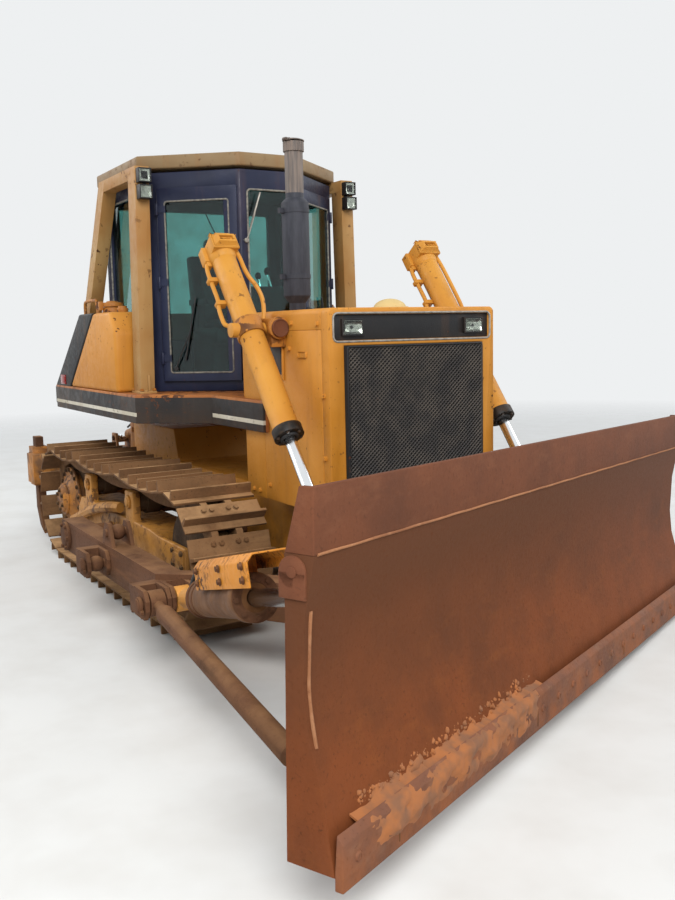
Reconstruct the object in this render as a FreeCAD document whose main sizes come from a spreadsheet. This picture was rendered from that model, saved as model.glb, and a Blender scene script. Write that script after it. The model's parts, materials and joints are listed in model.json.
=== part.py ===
"""Crawler bulldozer with an angled blade on a C-shaped frame and a rear ripper.

All sizes are in millimetres. The machine faces +X, its left side is +Y, and the ground
under the shoes is Z 0. Sizes live in the sheet and every piece is bound to them.
"""
import FreeCAD, Part
import math
import os
import re
import Sketcher

doc = FreeCAD.newDocument("Bulldozer")
sheet = doc.addObject("Spreadsheet::Sheet", "Sizes")

# name, value, what it is
SIZES = [
    # hull and engine housing
    ("HoodHalf", 615, "half width of hood and radiator guard"),
    ("HoodTop", 2136, "top of the hood"),
    ("HoodRound", 35, "rounding of the hood's upper edges"),
    ("HoodRear", 270, "rear end of the hood"),
    ("GuardRear", 1335, "joint of hood and radiator guard"),
    ("GuardFront", 1425, "front face of the radiator guard"),
    ("GuardLow", 760, "lower edge of the radiator guard"),
    ("PanelEdge", 40, "edge of the radiator guard round the lamp panel"),
    ("PanelWall", 25, "thickness of the lamp panel"),
    ("CoverLow", 900, "lower edge of the hood sides"),
    ("CoverTop", 2010, "upper edge of the engine side covers"),
    ("CoverRear", 560, "rear edge of the engine side covers"),
    ("SheetWall", 24, "thickness of hood and cover plates"),
    ("GrilleHalf", 510, "half width of the grille"),
    ("GrilleLow", 900, "lower edge of the grille"),
    ("GrilleTop", 1915, "upper edge of the grille"),
    ("GrilleDeep", 30, "depth of the grille"),
    ("GrilleProud", 15, "how far the grille stands out"),
    ("LampPanelHigh", 150, "height of the panel between the headlamps"),
    ("LampPanelDeep", 40, "depth of the recess that holds the lamp panel"),
    ("LampSide", 450, "headlamp centre, sideways"),
    ("LampHalf", 74, "half width of a headlamp"),
    ("LampHigh", 100, "height of a headlamp"),
    ("LampProud", 6, "how far the headlamps stand out"),
    ("CowlHalf", 240, "half width of the cowl behind the hood"),
    ("CowlTop", 2050, "top of the cowl"),
    ("BulkheadDrop", 36, "top of the bulkhead below the hood's"),
    ("CowlGap", 40, "front window above the cowl"),
    ("HullHalf", 400, "half width of the hull"),
    ("HullLow", 430, "ground clearance under the hull"),
    ("HullTop", 900, "top of the hull beams"),
    ("HullRear", -2740, "rear face of the gear case"),
    ("HullTaper", 130, "slope of the hull's underside at the rear"),
    ("NoseStart", 200, "start of the nose plate behind the hood's front"),
    ("NoseBack", 60, "tip of the nose plate behind the grille"),
    ("NoseHigh", 90, "height of the nose plate's tip"),
    ("CaseSlope", 90, "slope of the gear case's front"),
    ("CaseTop", 1180, "top of the gear case"),
    ("CaseFront", -1680, "front of the gear case"),
    ("EngineHalf", 330, "half width of the engine block"),
    ("EngineRear", 300, "rear end of the engine block"),
    ("EngineFront", 1180, "front end of the engine block"),
    ("EngineTop", 1950, "top of the engine block"),
    # exhaust
    ("StackX", 390, "exhaust centre, lengthwise"),
    ("StackY", -250, "exhaust centre, sideways"),
    ("MufflerR", 93, "muffler radius"),
    ("MufflerTop", 2900, "top of the muffler"),
    ("PipeR", 62, "tail pipe radius"),
    ("PipeTop", 3270, "top of the tail pipe"),
    ("PipeWall", 6, "wall of the tail pipe"),
    ("NeckR", 56, "radius of the muffler's neck"),
    ("NeckHigh", 60, "height of the muffler's neck"),
    ("ConeHigh", 50, "height of the muffler's lower cone"),
    ("ShoulderHigh", 30, "height of the muffler's upper cone"),
    # platform, cab and guard frame
    ("DeckTop", 1560, "top of the fenders"),
    ("DeckHigh", 210, "height of the fender's side band"),
    ("TankWide", 260, "width of a side tank, from the cab wall to the fender's edge"),
    ("DeckNarrow", 660, "half width of the fender beside the hood"),
    ("DeckRear", -2880, "rear end of the fenders"),
    ("DeckBend", -630, "where the fender turns inwards"),
    ("DeckTurnEnd", -210, "where the fender runs forward again"),
    ("DeckFront", 630, "front end of the fenders"),
    ("DeckInner", 500, "inner edge of the fenders beside the cab"),
    ("DeckFloor", 60, "thickness of the floor between the fenders"),
    ("DeckNeck", 60, "start of the fender's inner slope behind the cab's front"),
    ("DeckCorner", 320, "end of the fender's inner slope behind the cab's front"),
    ("DeckWall", 15, "thickness of the fender's plates"),
    ("CabHalf", 830, "half width of the cab"),
    ("CabFront", -470, "front face of the cab"),
    ("CabFrontHalf", 250, "half width of the cab's front face"),
    ("CabBend", -970, "rear edge of the cab's slanting door side"),
    ("CabRear", -1950, "rear face of the cab"),
    ("CabWall", 50, "wall thickness of the cab"),
    ("FrontPost", 60, "post beside the front window"),
    ("CabTop", 3230, "top of the cab"),
    ("DoorStart", 130, "door opening from the cab's bend, along the slant"),
    ("DoorMargin", 40, "door opening from the cab's front corner"),
    ("DoorLow", 1660, "lower edge of the door opening"),
    ("DoorTop", 3090, "upper edge of the door opening"),
    ("DoorLap", 18, "how far a door laps over its opening"),
    ("DoorWall", 35, "thickness of a door"),
    ("DoorRail", 68, "width of a door's frame"),
    ("DoorGap", 0.3, "gap between a door and the cab wall"),
    ("GlassWall", 8, "thickness of the window glass"),
    ("WindowLow", 1950, "lower edge of the cab windows"),
    ("WindowTop", 3080, "upper edge of the cab windows"),
    ("WindowMargin", 120, "post beside a cab window"),
    ("SeatX", -1500, "rear foot of the seat"),
    ("SeatHalf", 260, "half width of the seat"),
    ("ConsoleX", -620, "rear face of the dashboard"),
    ("ConsoleHalf", 190, "half width of the dashboard"),
    ("RoofTop", 3355, "top of the roof"),
    ("RoofHigh", 100, "height of the roof's edge"),
    ("RoofRear", -2080, "rear edge of the roof"),
    ("RoofCorner", 100, "cut of the roof's rear corners"),
    ("RoofIn", 75, "roof's edge inside the guard frame's outer face"),
    ("PostGap", 10, "space between cab wall and guard frame at the roof"),
    ("PostLean", 30, "how far the posts' feet stand further out"),
    ("PostWide", 110, "guard frame post, sideways"),
    ("PostDeep", 160, "guard frame post, lengthwise"),
    ("RailHigh", 90, "height of the guard frame's rail under the roof"),
    ("PostX", -880, "front post centre"),
    ("PostRearTop", -1610, "rear post centre at the roof"),
    ("PostRearFoot", -2500, "rear post centre at the deck"),
    ("WorkLampHigh", 110, "height of a work lamp"),
    ("WorkLampDeep", 70, "depth of a work lamp"),
    ("WorkLampDrop", 20, "work lamp below the roof"),
    ("TailLampWide", 160, "width of a tail lamp"),
    ("TailLampHigh", 150, "height of a tail lamp"),
    ("TailLampDeep", 60, "depth of a tail lamp"),
    ("TailLampIn", 10, "tail lamp inside the fender's edge"),
    # tanks
    ("TankTop", 2190, "top of the side tanks"),
    ("TankFront", -1050, "front of the side tanks"),
    ("TankSlope", 160, "height of the slanting front edge of a side tank"),
    ("TankSlopeRun", 120, "length of that edge"),
    ("TankRearTop", -1600, "rear end of the side tanks at their top"),
    ("TankRearFoot", -2390, "rear end of the side tanks at the deck"),
    ("CoverRearTop", -1980, "rear end of the sloping covers at their top"),
    ("CoverRearFoot", -2870, "rear end of the sloping covers at the deck"),
    # crawler tracks
    ("Gauge", 2000, "distance between the track centre lines"),
    ("ShoeWide", 560, "width of a track shoe"),
    ("ShoePlate", 14, "thickness of a shoe"),
    ("LugHigh", 65, "height of a shoe's lug"),
    ("LugWide", 18, "thickness of a shoe's lug at its tip"),
    ("ShoeCount", 40, "shoes in one track"),
    ("ShoeGap", 6, "gap between neighbouring shoes"),
    ("LinkHigh", 120, "height of the chain links"),
    ("LinkWide", 45, "width of one chain link"),
    ("LinkApart", 170, "distance between the two rows of links"),
    ("EndR", 390, "radius of the chain's pins round idler and sprocket"),
    ("IdlerX", 370, "idler centre"),
    ("SprocketX", -2480, "sprocket centre"),
    ("TrackSag", 45, "sag of the upper run"),
    ("RunGap", 0.3, "gap between wheels and chain"),
    ("FlangeHigh", 18, "height of wheel flanges between the links"),
    ("FlangeGap", 8, "gap beside wheel flanges"),
    ("FrameGap", 12, "gap between the track frame and the rollers' flanges"),
    ("FrameSkirt", 40, "how far the frame's sides reach below the rollers' tops"),
    ("ForkHigh", 80, "half height of the idler's fork"),
    ("ForkReach", 80, "fork in front of the idler's centre"),
    ("FrameRise", 200, "length of the frame's slope up to the fork"),
    ("FrameEnd", 60, "gap between the sprocket's circle and the frame"),
    ("IdlerPinR", 55, "idler pin radius"),
    ("RollerPinR", 40, "track roller pin radius"),
    ("AxleR", 65, "radius of the frame's cross axles"),
    ("AxleDrop", 80, "cross axles below the frame's top"),
    ("ToothHigh", 40, "sprocket ring beyond the chain's inner circle"),
    ("RollerEnd", 140, "end rollers inside the end wheels' circles"),
    ("RollerR", 95, "track roller radius"),
    ("RollerCount", 6, "track rollers on one side"),
    ("CarrierR", 80, "carrier roller radius"),
    ("CarrierFront", -640, "front carrier roller"),
    ("CarrierRear", -1700, "rear carrier roller"),
    ("CarrierDrop", 12, "gap between a carrier roller and the chain"),
    ("CarrierPinR", 35, "carrier roller pin radius"),
    ("TowerHalf", 90, "half length of a carrier roller's stand"),
    ("TowerTop", 80, "top of the stand above the carrier roller's pin"),
    ("TowerGap", 5, "gap between the stand and the carrier roller"),
    ("FrameHalf", 175, "half width of the track frame"),
    ("FrameHigh", 210, "height of the track frame"),
    ("ForkWall", 40, "wall of the fork that holds the idler"),
    ("DriveR", 250, "final drive case radius"),
    ("DriveReach", 215, "final drive cap outside the track's centre line"),
    ("DriveCapR", 140, "final drive cap radius"),
    # blade frame
    ("HingeX", -1087, "blade frame hinge, lengthwise"),
    ("HingeZ", 475, "blade frame hinge, height"),
    ("HingePinR", 70, "blade frame hinge pin radius"),
    ("ArmY", 1450, "blade frame arm centre, sideways"),
    ("ArmWide", 160, "blade frame arm width"),
    ("ArmHigh", 230, "blade frame arm height"),
    ("ArmEnd", 130, "arm behind the hinge pin"),
    ("HingeReach", 30, "hinge pin outside the arm"),
    ("ArmBend", 880, "where the arms turn inwards"),
    ("BendRun", 210, "length of the bend at the arms' outer side"),
    ("BendOut", 170, "outer side in from the arm's centre, after the bend"),
    ("BendInRun", 260, "length of the bend at the arms' inner side"),
    ("BendIn", 340, "inner side in from the arm's centre, after the bend"),
    ("CrossRear", 670, "inner corner of the nose behind the ball"),
    ("CrossFront", 490, "outer corner of the nose behind the ball"),
    ("CrossIn", 850, "inner corner of the nose in from the arm's centre"),
    ("CrossOut", 700, "outer corner of the nose in from the arm's centre"),
    ("NoseInner", 380, "inner tip of the nose behind the ball"),
    ("NoseOuter", 150, "outer tip of the nose behind the ball"),
    ("NoseHalf", 130, "half width of the nose's tip"),
    ("BallX", 2418, "blade ball centre, lengthwise"),
    ("BallZ", 460, "blade ball centre, height"),
    ("BallR", 95, "blade ball radius"),
    ("BallNeckR", 58, "radius of the ball's neck"),
    ("BallNeck", 160, "length of the ball's neck"),
    ("LiftEyeX", 1810, "lift rod eye, lengthwise"),
    ("LiftEyeZ", 705, "lift rod eye, height"),
    ("LiftY", 810, "lift cylinder plane, sideways"),
    ("LiftPivotX", 785, "lift cylinder trunnion, lengthwise"),
    ("LiftPivotZ", 2020, "lift cylinder trunnion, height"),
    ("LiftBarrelR", 80, "lift barrel radius"),
    ("LiftRodR", 37, "lift rod radius"),
    ("LiftHead", 680, "barrel length above the trunnion"),
    ("LiftBelow", 800, "barrel length below the trunnion"),
    ("LiftCap", 60, "length of the barrel's gland and of its closed end"),
    ("LiftGland", 12, "gland outside the barrel"),
    ("TrunnionR", 45, "trunnion radius"),
    ("TrunnionReach", 50, "trunnion outside the barrel"),
    ("LiftStroke", 500, "rod inside the barrel at rest, beyond its end clearance"),
    ("LiftClear", 100, "end clearance of the lift rod"),
    ("YokeHalf", 110, "half length of a lift cylinder's yoke"),
    ("YokeTop", 70, "yoke above the trunnion"),
    ("YokeGap", 15, "gap between yoke and barrel"),
    ("EyeR", 60, "radius of rod and strut eyes"),
    ("EyeWide", 90, "width of rod and strut eyes"),
    ("EarGap", 8, "gap between an eye and the ears beside it"),
    ("EarWall", 25, "thickness of an ear"),
    ("EarFoot", 110, "half length of an ear at its foot"),
    ("EarNeck", 70, "half length of an ear at its eye"),
    ("EarTop", 70, "ear above its eye"),
    ("EarTip", 35, "half length of an ear's top"),
    ("EarRise", 20, "where an ear narrows, above its eye"),
    ("CheekBack", 130, "cheek plate behind its eye"),
    ("CheekHigh", 85, "half height of a cheek plate at its root"),
    ("CheekFront", 70, "cheek plate in front of its eye"),
    ("CheekTip", 30, "half height of a cheek plate's tip"),
    ("PinReach", 12, "pin outside its ears"),
    ("BracketHigh", 80, "half height of a strut bracket"),
    ("BracketRear", 210, "rear of a strut bracket behind its eye"),
    ("BracketFront", 120, "front of a strut bracket behind its eye"),
    ("RodGap", 1, "gap between rods and the barrels round them"),
    ("PinR", 28, "radius of the pins at eyes"),
    ("PinGap", 1, "gap round pins and balls"),
    ("FootR", 75, "radius of a strut's foot"),
    ("FootBallR", 54, "radius of the ball in a strut's foot"),
    # blade
    ("BladeYaw", 25, "blade angle, degrees"),
    ("BladeRoll", -1.9, "blade tilt at rest, degrees"),
    ("BladeRight", 2290, "right end of the blade from the ball"),
    ("BladeLeft", 2110, "left end of the blade from the ball"),
    ("BladeSet", 235, "blade face in front of the ball"),
    ("BladeTop", 1210, "top of the curved plate above ground"),
    ("SpillHigh", 225, "height of the spill plate above it"),
    ("BladeLow", 150, "lower edge of the curved plate"),
    ("BladeCurl", 75, "how far the curved plate's foot stands forward"),
    ("BladeHollow", 46, "how far the curved plate's middle stands back"),
    ("BladeDeep", 120, "depth of the ribs behind the blade face"),
    ("PlateWall", 25, "thickness of blade plates"),
    ("EdgeLow", 105, "cutting edge above ground, blade level"),
    ("EdgeWall", 34, "thickness of the cutting edge"),
    ("EdgeTop", 150, "top of the cutting edge above the plate's foot"),
    ("EdgeBevel", 30, "height of the cutting edge's upper bevel"),
    ("EdgeLap", 20, "cutting edge behind the plate's foot"),
    ("EdgeLip", 8, "thickness of the bevel's upper end"),
    ("SpillFoot", 60, "foot of the spill plate's end plates behind their top"),
    ("SocketHalf", 150, "half width of the ball's socket"),
    ("SocketHigh", 130, "half height of the ball's socket"),
    ("SocketBack", 20, "rear of the socket behind the ball"),
    # struts between blade frame and blade
    ("StrutX", 1080, "front strut eyes on the arms"),
    ("StrutRearX", -60, "rear strut eyes on the arms"),
    ("StrutOut", 160, "lower strut outside the middle of the arm"),
    ("StrutUp", 85, "rear upper strut eye above the arm"),
    ("LugGap", 45, "gap between a strut's eye and the blade's ears"),
    ("LugBack", -20, "strut lugs in front of the ball, across the blade"),
    ("LowLugY", 1850, "lower strut lug from the ball, along the blade"),
    ("LowLugZ", -290, "lower strut lug above the ball"),
    ("TopLugY", 1900, "upper strut lug from the ball, along the blade"),
    ("TopLugZ", 500, "upper strut lug above the ball"),
    ("LugHalf", 50, "half height of a lug at its eye"),
    ("LugRise", 110, "half height of a lug at the blade"),
    ("LugSink", 8, "how far lugs reach into the curved plate"),
    ("StrutR", 52, "strut tube radius"),
    ("NeckStrutR", 34, "radius of a strut's necks"),
    ("StrutNeck", 120, "length of a strut's rear neck"),
    ("StrutTaper", 60, "length of a strut's rear cone"),
    ("StrutHead", 300, "length of a strut's front neck"),
    ("StrutStep", 20, "length of a strut's front cone"),
    ("TiltBarrelR", 100, "tilt barrel radius"),
    ("TiltRodR", 40, "tilt rod radius"),
    ("TiltNeckR", 36, "radius of the tilt strut's neck"),
    ("TiltTubeR", 60, "radius of the tilt strut's tube"),
    ("TiltTube", 500, "end of the tilt strut's tube"),
    ("TiltEnd", 1420, "end of the tilt barrel"),
    ("TiltGland", 70, "length of the tilt barrel's gland"),
    ("TiltLip", 14, "gland outside the tilt barrel"),
    ("TiltBore", 700, "start of the tilt barrel's bore"),
    ("TiltRodStart", 1000, "inner end of the tilt rod"),
    ("TiltStep", 30, "length of the tilt barrel's rear cone"),
    # ripper
    ("RipperX", -3350, "ripper beam, front face"),
    ("RipperDeep", 250, "ripper beam, lengthwise"),
    ("RipperLow", 560, "ripper beam, underside"),
    ("RipperHigh", 290, "ripper beam, height"),
    ("RipperHalf", 1240, "ripper beam, half width"),
    ("RipperHingeX", -2860, "ripper hinge, lengthwise"),
    ("RipperHingeZ", 640, "ripper hinge, height"),
    ("ShankApart", 1120, "distance between ripper shanks"),
    ("ShankWide", 76, "ripper shank thickness"),
    ("TipZ", 40, "ripper point above ground"),
    ("PocketDeep", 90, "shank pockets behind the ripper beam"),
    ("RipperPivotX", -2810, "ripper cylinder's upper pin, lengthwise"),
    ("RipperPivotZ", 1090, "ripper cylinder's upper pin, height"),
    ("RipperEyeX", -3450, "ripper rod eye, lengthwise"),
    ("RipperEyeZ", 950, "ripper rod eye, height"),
    ("RipperSide", 300, "ripper cylinders, sideways"),
    ("RipperBarrelR", 50, "ripper barrel radius"),
    ("RipperRodR", 32, "ripper rod radius"),
    ("ShankTop", 450, "top of the shanks above the beam's underside"),
    ("PocketTop", 350, "top of the shank pockets above the beam's underside"),
    ("PocketLow", 40, "shank pockets below the beam"),
    ("PocketFront", 80, "shank pockets inside the beam"),
    ("ShankBack", 70, "rear face of the shanks behind the beam"),
    ("ShankDeep", 130, "shank, lengthwise"),
    ("TipReach", 190, "ripper point in front of the beam's rear face"),
    ("RipperArmHalf", 60, "half width of a ripper arm and of the rear pins' eyes"),
    ("RipperArmHigh", 70, "half height of a ripper arm at its hinge"),
    ("RipperArmTip", 55, "ripper arm in front of its hinge pin"),
    ("RipperEarGap", 12, "gap between a ripper rod's eye and its ears"),
    ("RipperEarFoot", 90, "half length of a ripper ear at its foot"),
    ("RipperEarTip", 60, "half length of a ripper ear at its top"),
    ("RipperEarTop", 50, "ripper ear above its eye"),
    ("BracketLip", 60, "rear bracket round its pins"),
    ("BracketRise", 80, "rear bracket at the gear case, round its pins"),
    ("RearEyeR", 62, "ripper barrel's eye radius"),
    ("RipperEyeR", 50, "ripper rod's eye radius"),
    ("RipperBarrelEnd", 395, "end of the ripper barrel, from its pin"),
    ("RipperBarrelStart", 38, "start of the ripper barrel, from its pin"),
    ("RipperBore", 75, "start of the ripper barrel's bore"),
    ("RipperRodStart", 275, "inner end of the ripper rod, from the upper pin"),
    ("RearPinReach", 10, "rear pins outside their brackets"),
]
for row, (name, size, meaning) in enumerate(SIZES, 1):
    sheet.set("A%d" % row, name)
    sheet.set("B%d" % row, str(size))
    sheet.set("C%d" % row, meaning)
    sheet.setAlias("B%d" % row, name)
doc.recompute()

pieces = []


def bind(text):
    """Point each capitalised name of an expression at its cell in the sheet."""
    return re.sub(r"\b[A-Z]\w+", r"Sizes.\g<0>", str(text))


def number(text):
    """The present value of an expression."""
    return float(sheet.evalExpression(bind(text)))


def keep(piece, label):
    """Name a finished piece and list it for the files."""
    piece.Label = label
    pieces.append(piece)
    return piece


def place(piece, x=0, y=0, z=0, yaw=0, pitch=0, roll=0):
    """Bind a piece's placement; the angles turn it about Z, then Y, then X."""
    words = tuple(bind(word) for word in (x, y, z, yaw, pitch, roll))
    piece.setExpression("Placement", "placement(vector(%s; %s; %s); rotation(%s; %s; %s))" % words)
    return piece


# plane name: role of the origin plane, and whether its normal points against the axis
PLANES = {"XY": ("XY_Plane", False), "XZ": ("XZ_Plane", True), "YZ": ("YZ_Plane", False)}


def sketch(body, plane, outline, level):
    """A closed outline of points on a plane; a pair with a radius word is a circle."""
    drawing = body.newObject("Sketcher::SketchObject", "Outline")
    origin = [item for item in body.Origin.OriginFeatures if item.Role == PLANES[plane][0]][0]
    drawing.AttachmentSupport = [(origin, "")]
    drawing.MapMode = "FlatFace"
    drawing.setExpression("AttachmentOffset.Base.z", bind(level))
    if len(outline[0]) == 3:
        for x, y, radius in outline:
            centre = FreeCAD.Vector(number(x), number(y), 0)
            ring = drawing.addGeometry(Part.Circle(centre, FreeCAD.Vector(0, 0, 1), number(radius)), False)
            rule = drawing.addConstraint(Sketcher.Constraint("Radius", ring, number(radius)))
            drawing.setExpression("Constraints[%d]" % rule, bind(radius))
            fix_point(drawing, ring, 3, x, y)
        return drawing
    spots = [FreeCAD.Vector(number(x), number(y), 0) for x, y in outline]
    count = len(spots)
    for k in range(count):
        drawing.addGeometry(Part.LineSegment(spots[k], spots[(k + 1) % count]), False)
    for k in range(count):
        drawing.addConstraint(Sketcher.Constraint("Coincident", k, 2, (k + 1) % count, 1))
    for k, (x, y) in enumerate(outline):
        fix_point(drawing, k, 1, x, y)
    return drawing


def fix_point(drawing, item, end, x, y):
    """Tie a sketch point to the sheet by its distances from the origin."""
    for rule_name, word in (("DistanceX", x), ("DistanceY", y)):
        rule = drawing.addConstraint(Sketcher.Constraint(rule_name, -1, 1, item, end, number(word)))
        drawing.setExpression("Constraints[%d]" % rule, bind(word))


def pad(body, plane, outline, low, high):
    """Add an outline to a body from low to high along the axis across its plane."""
    level = "-(%s)" % high if PLANES[plane][1] else low
    feature = body.newObject("PartDesign::Pad", "Pad")
    feature.Profile = sketch(body, plane, outline, level)
    feature.setExpression("Length", bind("(%s) - (%s)" % (high, low)))
    doc.recompute()
    return body


def pocket(body, plane, outline, low, high):
    """Cut an outline out of a body from low to high along the axis across its plane."""
    level = "-(%s)" % low if PLANES[plane][1] else high
    before = body.Shape.Volume
    feature = body.newObject("PartDesign::Pocket", "Pocket")
    feature.Profile = sketch(body, plane, outline, level)
    feature.setExpression("Length", bind("(%s) - (%s)" % (high, low)))
    doc.recompute()
    if not body.Shape.Volume < before:
        raise RuntimeError("a pocket of %s cuts nothing" % body.Label)
    return body


def prism(name, plane, outline, low, high):
    """A body made of one padded outline."""
    body = doc.addObject("PartDesign::Body", name)
    body.Label = name
    return pad(body, plane, outline, low, high)


def turned(name, section):
    """A body of revolution about its own Z axis, from (radius, height) points."""
    body = doc.addObject("PartDesign::Body", name)
    body.Label = name
    feature = body.newObject("PartDesign::Revolution", "Revolution")
    feature.Profile = sketch(body, "XZ", section, 0)
    axis = [item for item in body.Origin.OriginFeatures if item.Role == "Z_Axis"][0]
    feature.ReferenceAxis = (axis, [""])
    feature.Angle = 360
    doc.recompute()
    return body


def rod(name, radius, length, inner=None):
    """A round bar, or a tube, along its own Z axis."""
    low = inner if inner else 0
    return turned(name, [(low, 0), (radius, 0), (radius, length), (low, length)])


def soften(body, radius, test):
    """Round those edges of a body for which test(edge) holds."""
    base = body.Tip
    names = ["Edge%d" % k for k, edge in enumerate(base.Shape.Edges, 1) if test(edge)]
    feature = body.newObject("PartDesign::Fillet", "Fillet")
    feature.Base = (base, names)
    feature.setExpression("Radius", bind(radius))
    doc.recompute()
    return body


def box(name, x, y, z):
    """A block given by its lowest and highest X, Y and Z."""
    block = doc.addObject("Part::Box", name)
    for side, (low, high) in (("Length", x), ("Width", y), ("Height", z)):
        block.setExpression(side, bind("(%s) - (%s)" % (high, low)))
    return place(block, x[0], y[0], z[0])


def sphere(name, radius, spot):
    """A ball round a point."""
    ball = doc.addObject("Part::Sphere", name)
    ball.setExpression("Radius", bind(radius))
    return place(ball, *spot)


def join(name, parts):
    """Fuse parts that touch into one solid."""
    feature = doc.addObject("Part::MultiFuse", name)
    feature.Refine = False
    feature.Shapes = parts
    doc.recompute()
    return feature


def cut(name, base, tool):
    """Take a tool away from a base."""
    feature = doc.addObject("Part::Cut", name)
    feature.Base = base
    feature.Tool = tool
    doc.recompute()
    return feature


def group(name, parts):
    """Keep parts that do not touch as one node."""
    feature = doc.addObject("Part::Compound", name)
    feature.Links = parts
    doc.recompute()
    return feature


SIDES = (("left", 1), ("right", -1))


def spread(sign, near, far):
    """Lowest and highest Y of something that spans near to far on one side."""
    if sign > 0:
        return near, far
    return "-(%s)" % far, "-(%s)" % near


def frame_of(x, z, wide):
    """The four corners of a rectangle from its low and high words, made smaller by wide."""
    left, right = "%s + %s" % (x[0], wide), "%s - %s" % (x[1], wide)
    low, high = "%s + %s" % (z[0], wide), "%s - %s" % (z[1], wide)
    return [(left, low), (right, low), (right, high), (left, high)]


# Hull: the beams and the gear case, with a sloping nose plate under the radiator
NOSE = "(GuardFront - NoseBack)"
keep(prism("hull", "XZ", [
    ("HullRear", "HullLow + HullTaper"), ("HullRear + HullTaper", "HullLow"), ("GuardRear - NoseStart", "HullLow"),
    (NOSE, "GuardLow - NoseHigh"), (NOSE, "GuardLow"), ("GuardRear", "GuardLow"), ("GuardRear", "HullTop"),
    ("CaseFront + CaseSlope", "HullTop"), ("CaseFront", "CaseTop"), ("HullRear", "CaseTop")],
    "-HullHalf", "HullHalf"), "main_frame")
keep(box("engine", ("EngineRear", "EngineFront"), ("-EngineHalf", "EngineHalf"), ("HullTop", "EngineTop")),
     "engine_block")


# Radiator guard: open to front and rear, with the core, the grille and the lamp panel in it
def upper_long(edge):
    """True for the two edges along X at the hood's top."""
    first, last = edge.Vertexes[0].Point, edge.Vertexes[-1].Point
    return abs(first.x - last.x) > 1 and first.z > number("HoodTop - 1")


GRILLE = (("-GrilleHalf", "GrilleHalf"), ("GrilleLow", "GrilleTop"))
PANEL = (("-HoodHalf", "HoodHalf"), ("HoodTop - 2 * PanelEdge - LampPanelHigh", "HoodTop"))
PANEL_BACK = "(GuardFront - LampPanelDeep)"
GUARD = (("-HoodHalf", "HoodHalf"), ("GuardLow", "HoodTop"))
guard = prism("guard", "YZ", frame_of(*GUARD, "0"), "GuardRear", "GuardFront")
soften(guard, "HoodRound", upper_long)
pocket(guard, "YZ", frame_of(*GRILLE, "0"), "GuardRear", "GuardFront")
pocket(guard, "YZ", frame_of(*PANEL, "PanelEdge"), PANEL_BACK, "GuardFront")
keep(guard, "radiator_guard")
keep(box("core", ("GuardRear", "GuardFront - GrilleDeep"), *GRILLE), "radiator_core")
keep(prism("panel", "YZ", frame_of(*PANEL, "PanelEdge"), PANEL_BACK, PANEL_BACK + " + PanelWall"), "lamp_panel")
LAMP_Z = "(HoodTop - PanelEdge - LampPanelHigh / 2)"
lamps = [box("lamp_" + side, (PANEL_BACK + " + PanelWall", "GuardFront + LampProud"),
             spread(sign, "LampSide - LampHalf", "LampSide + LampHalf"),
             (LAMP_Z + " - LampHigh / 2", LAMP_Z + " + LampHigh / 2")) for side, sign in SIDES]
keep(group("lamps", lamps), "headlamps")
keep(prism("grille_slab", "YZ", frame_of(*GRILLE, "0"), "GuardFront - GrilleDeep", "GuardFront + GrilleProud"),
     "grille")

# Hood: an upturned trough, cut away where the lift-off covers close it beside the engine
bonnet = prism("bonnet", "YZ", [
    ("-HoodHalf", "CoverLow"), ("-HoodHalf + SheetWall", "CoverLow"),
    ("-HoodHalf + SheetWall", "HoodTop - SheetWall"), ("HoodHalf - SheetWall", "HoodTop - SheetWall"),
    ("HoodHalf - SheetWall", "CoverLow"), ("HoodHalf", "CoverLow"),
    ("HoodHalf", "HoodTop"), ("-HoodHalf", "HoodTop")], "HoodRear", "GuardRear")
soften(bonnet, "HoodRound", upper_long)
COVER = (("CoverRear", "GuardRear"), ("CoverLow", "CoverTop"))
pocket(bonnet, "XZ", frame_of(*COVER, "0"), "-HoodHalf", "HoodHalf")
keep(bonnet, "hood")
covers = [prism("cover_" + side, "XZ", frame_of(*COVER, "0"), *spread(sign, "HoodHalf - SheetWall", "HoodHalf"))
          for side, sign in SIDES]
keep(group("covers", covers), "engine_covers")
BULKHEAD = ("HoodRear - SheetWall", "HoodRear")
bulkhead = box("bulkhead", BULKHEAD, ("-HoodHalf", "HoodHalf"), ("DeckTop", "HoodTop - BulkheadDrop"))
cowl = box("cowl_box", ("CabFront", BULKHEAD[0]), ("-CowlHalf", "CowlHalf"), ("DeckTop", "CowlTop"))
keep(join("cowl_joined", [bulkhead, cowl]), "cowl")

# Exhaust: drawn from the hood upwards, with the tail pipe open at its top
MUFFLER_END, PIPE_END = "(MufflerTop - HoodTop)", "(PipeTop - HoodTop)"
stack = turned("stack", [
    (0, 0), ("NeckR", 0), ("NeckR", "NeckHigh"), ("MufflerR", "NeckHigh + ConeHigh"),
    ("MufflerR", MUFFLER_END + " - ShoulderHigh"), ("PipeR", MUFFLER_END), ("PipeR", PIPE_END),
    ("PipeR - PipeWall", PIPE_END), ("PipeR - PipeWall", MUFFLER_END), (0, MUFFLER_END)])
keep(place(stack, "StackX", "StackY", "HoodTop"), "exhaust_stack")


# Fenders: pans open below, whose outline turns in before the cab's slanting side
DECK_HALF = "(CabHalf + TankWide)"


def deck_plan(sign):
    """The fender's outline on one side."""
    return [(x, "%d * %s" % (sign, y)) for x, y in (
        ("DeckRear", "DeckInner"), ("DeckRear", DECK_HALF), ("DeckBend", DECK_HALF), ("DeckTurnEnd", "DeckNarrow"),
        ("DeckFront", "DeckNarrow"), ("DeckFront", "HoodHalf"), ("HoodRear", "HoodHalf"), ("HoodRear", "CowlHalf"),
        ("CabFront - DeckNeck", "CowlHalf"), ("CabFront - DeckCorner", "DeckInner"))]


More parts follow.
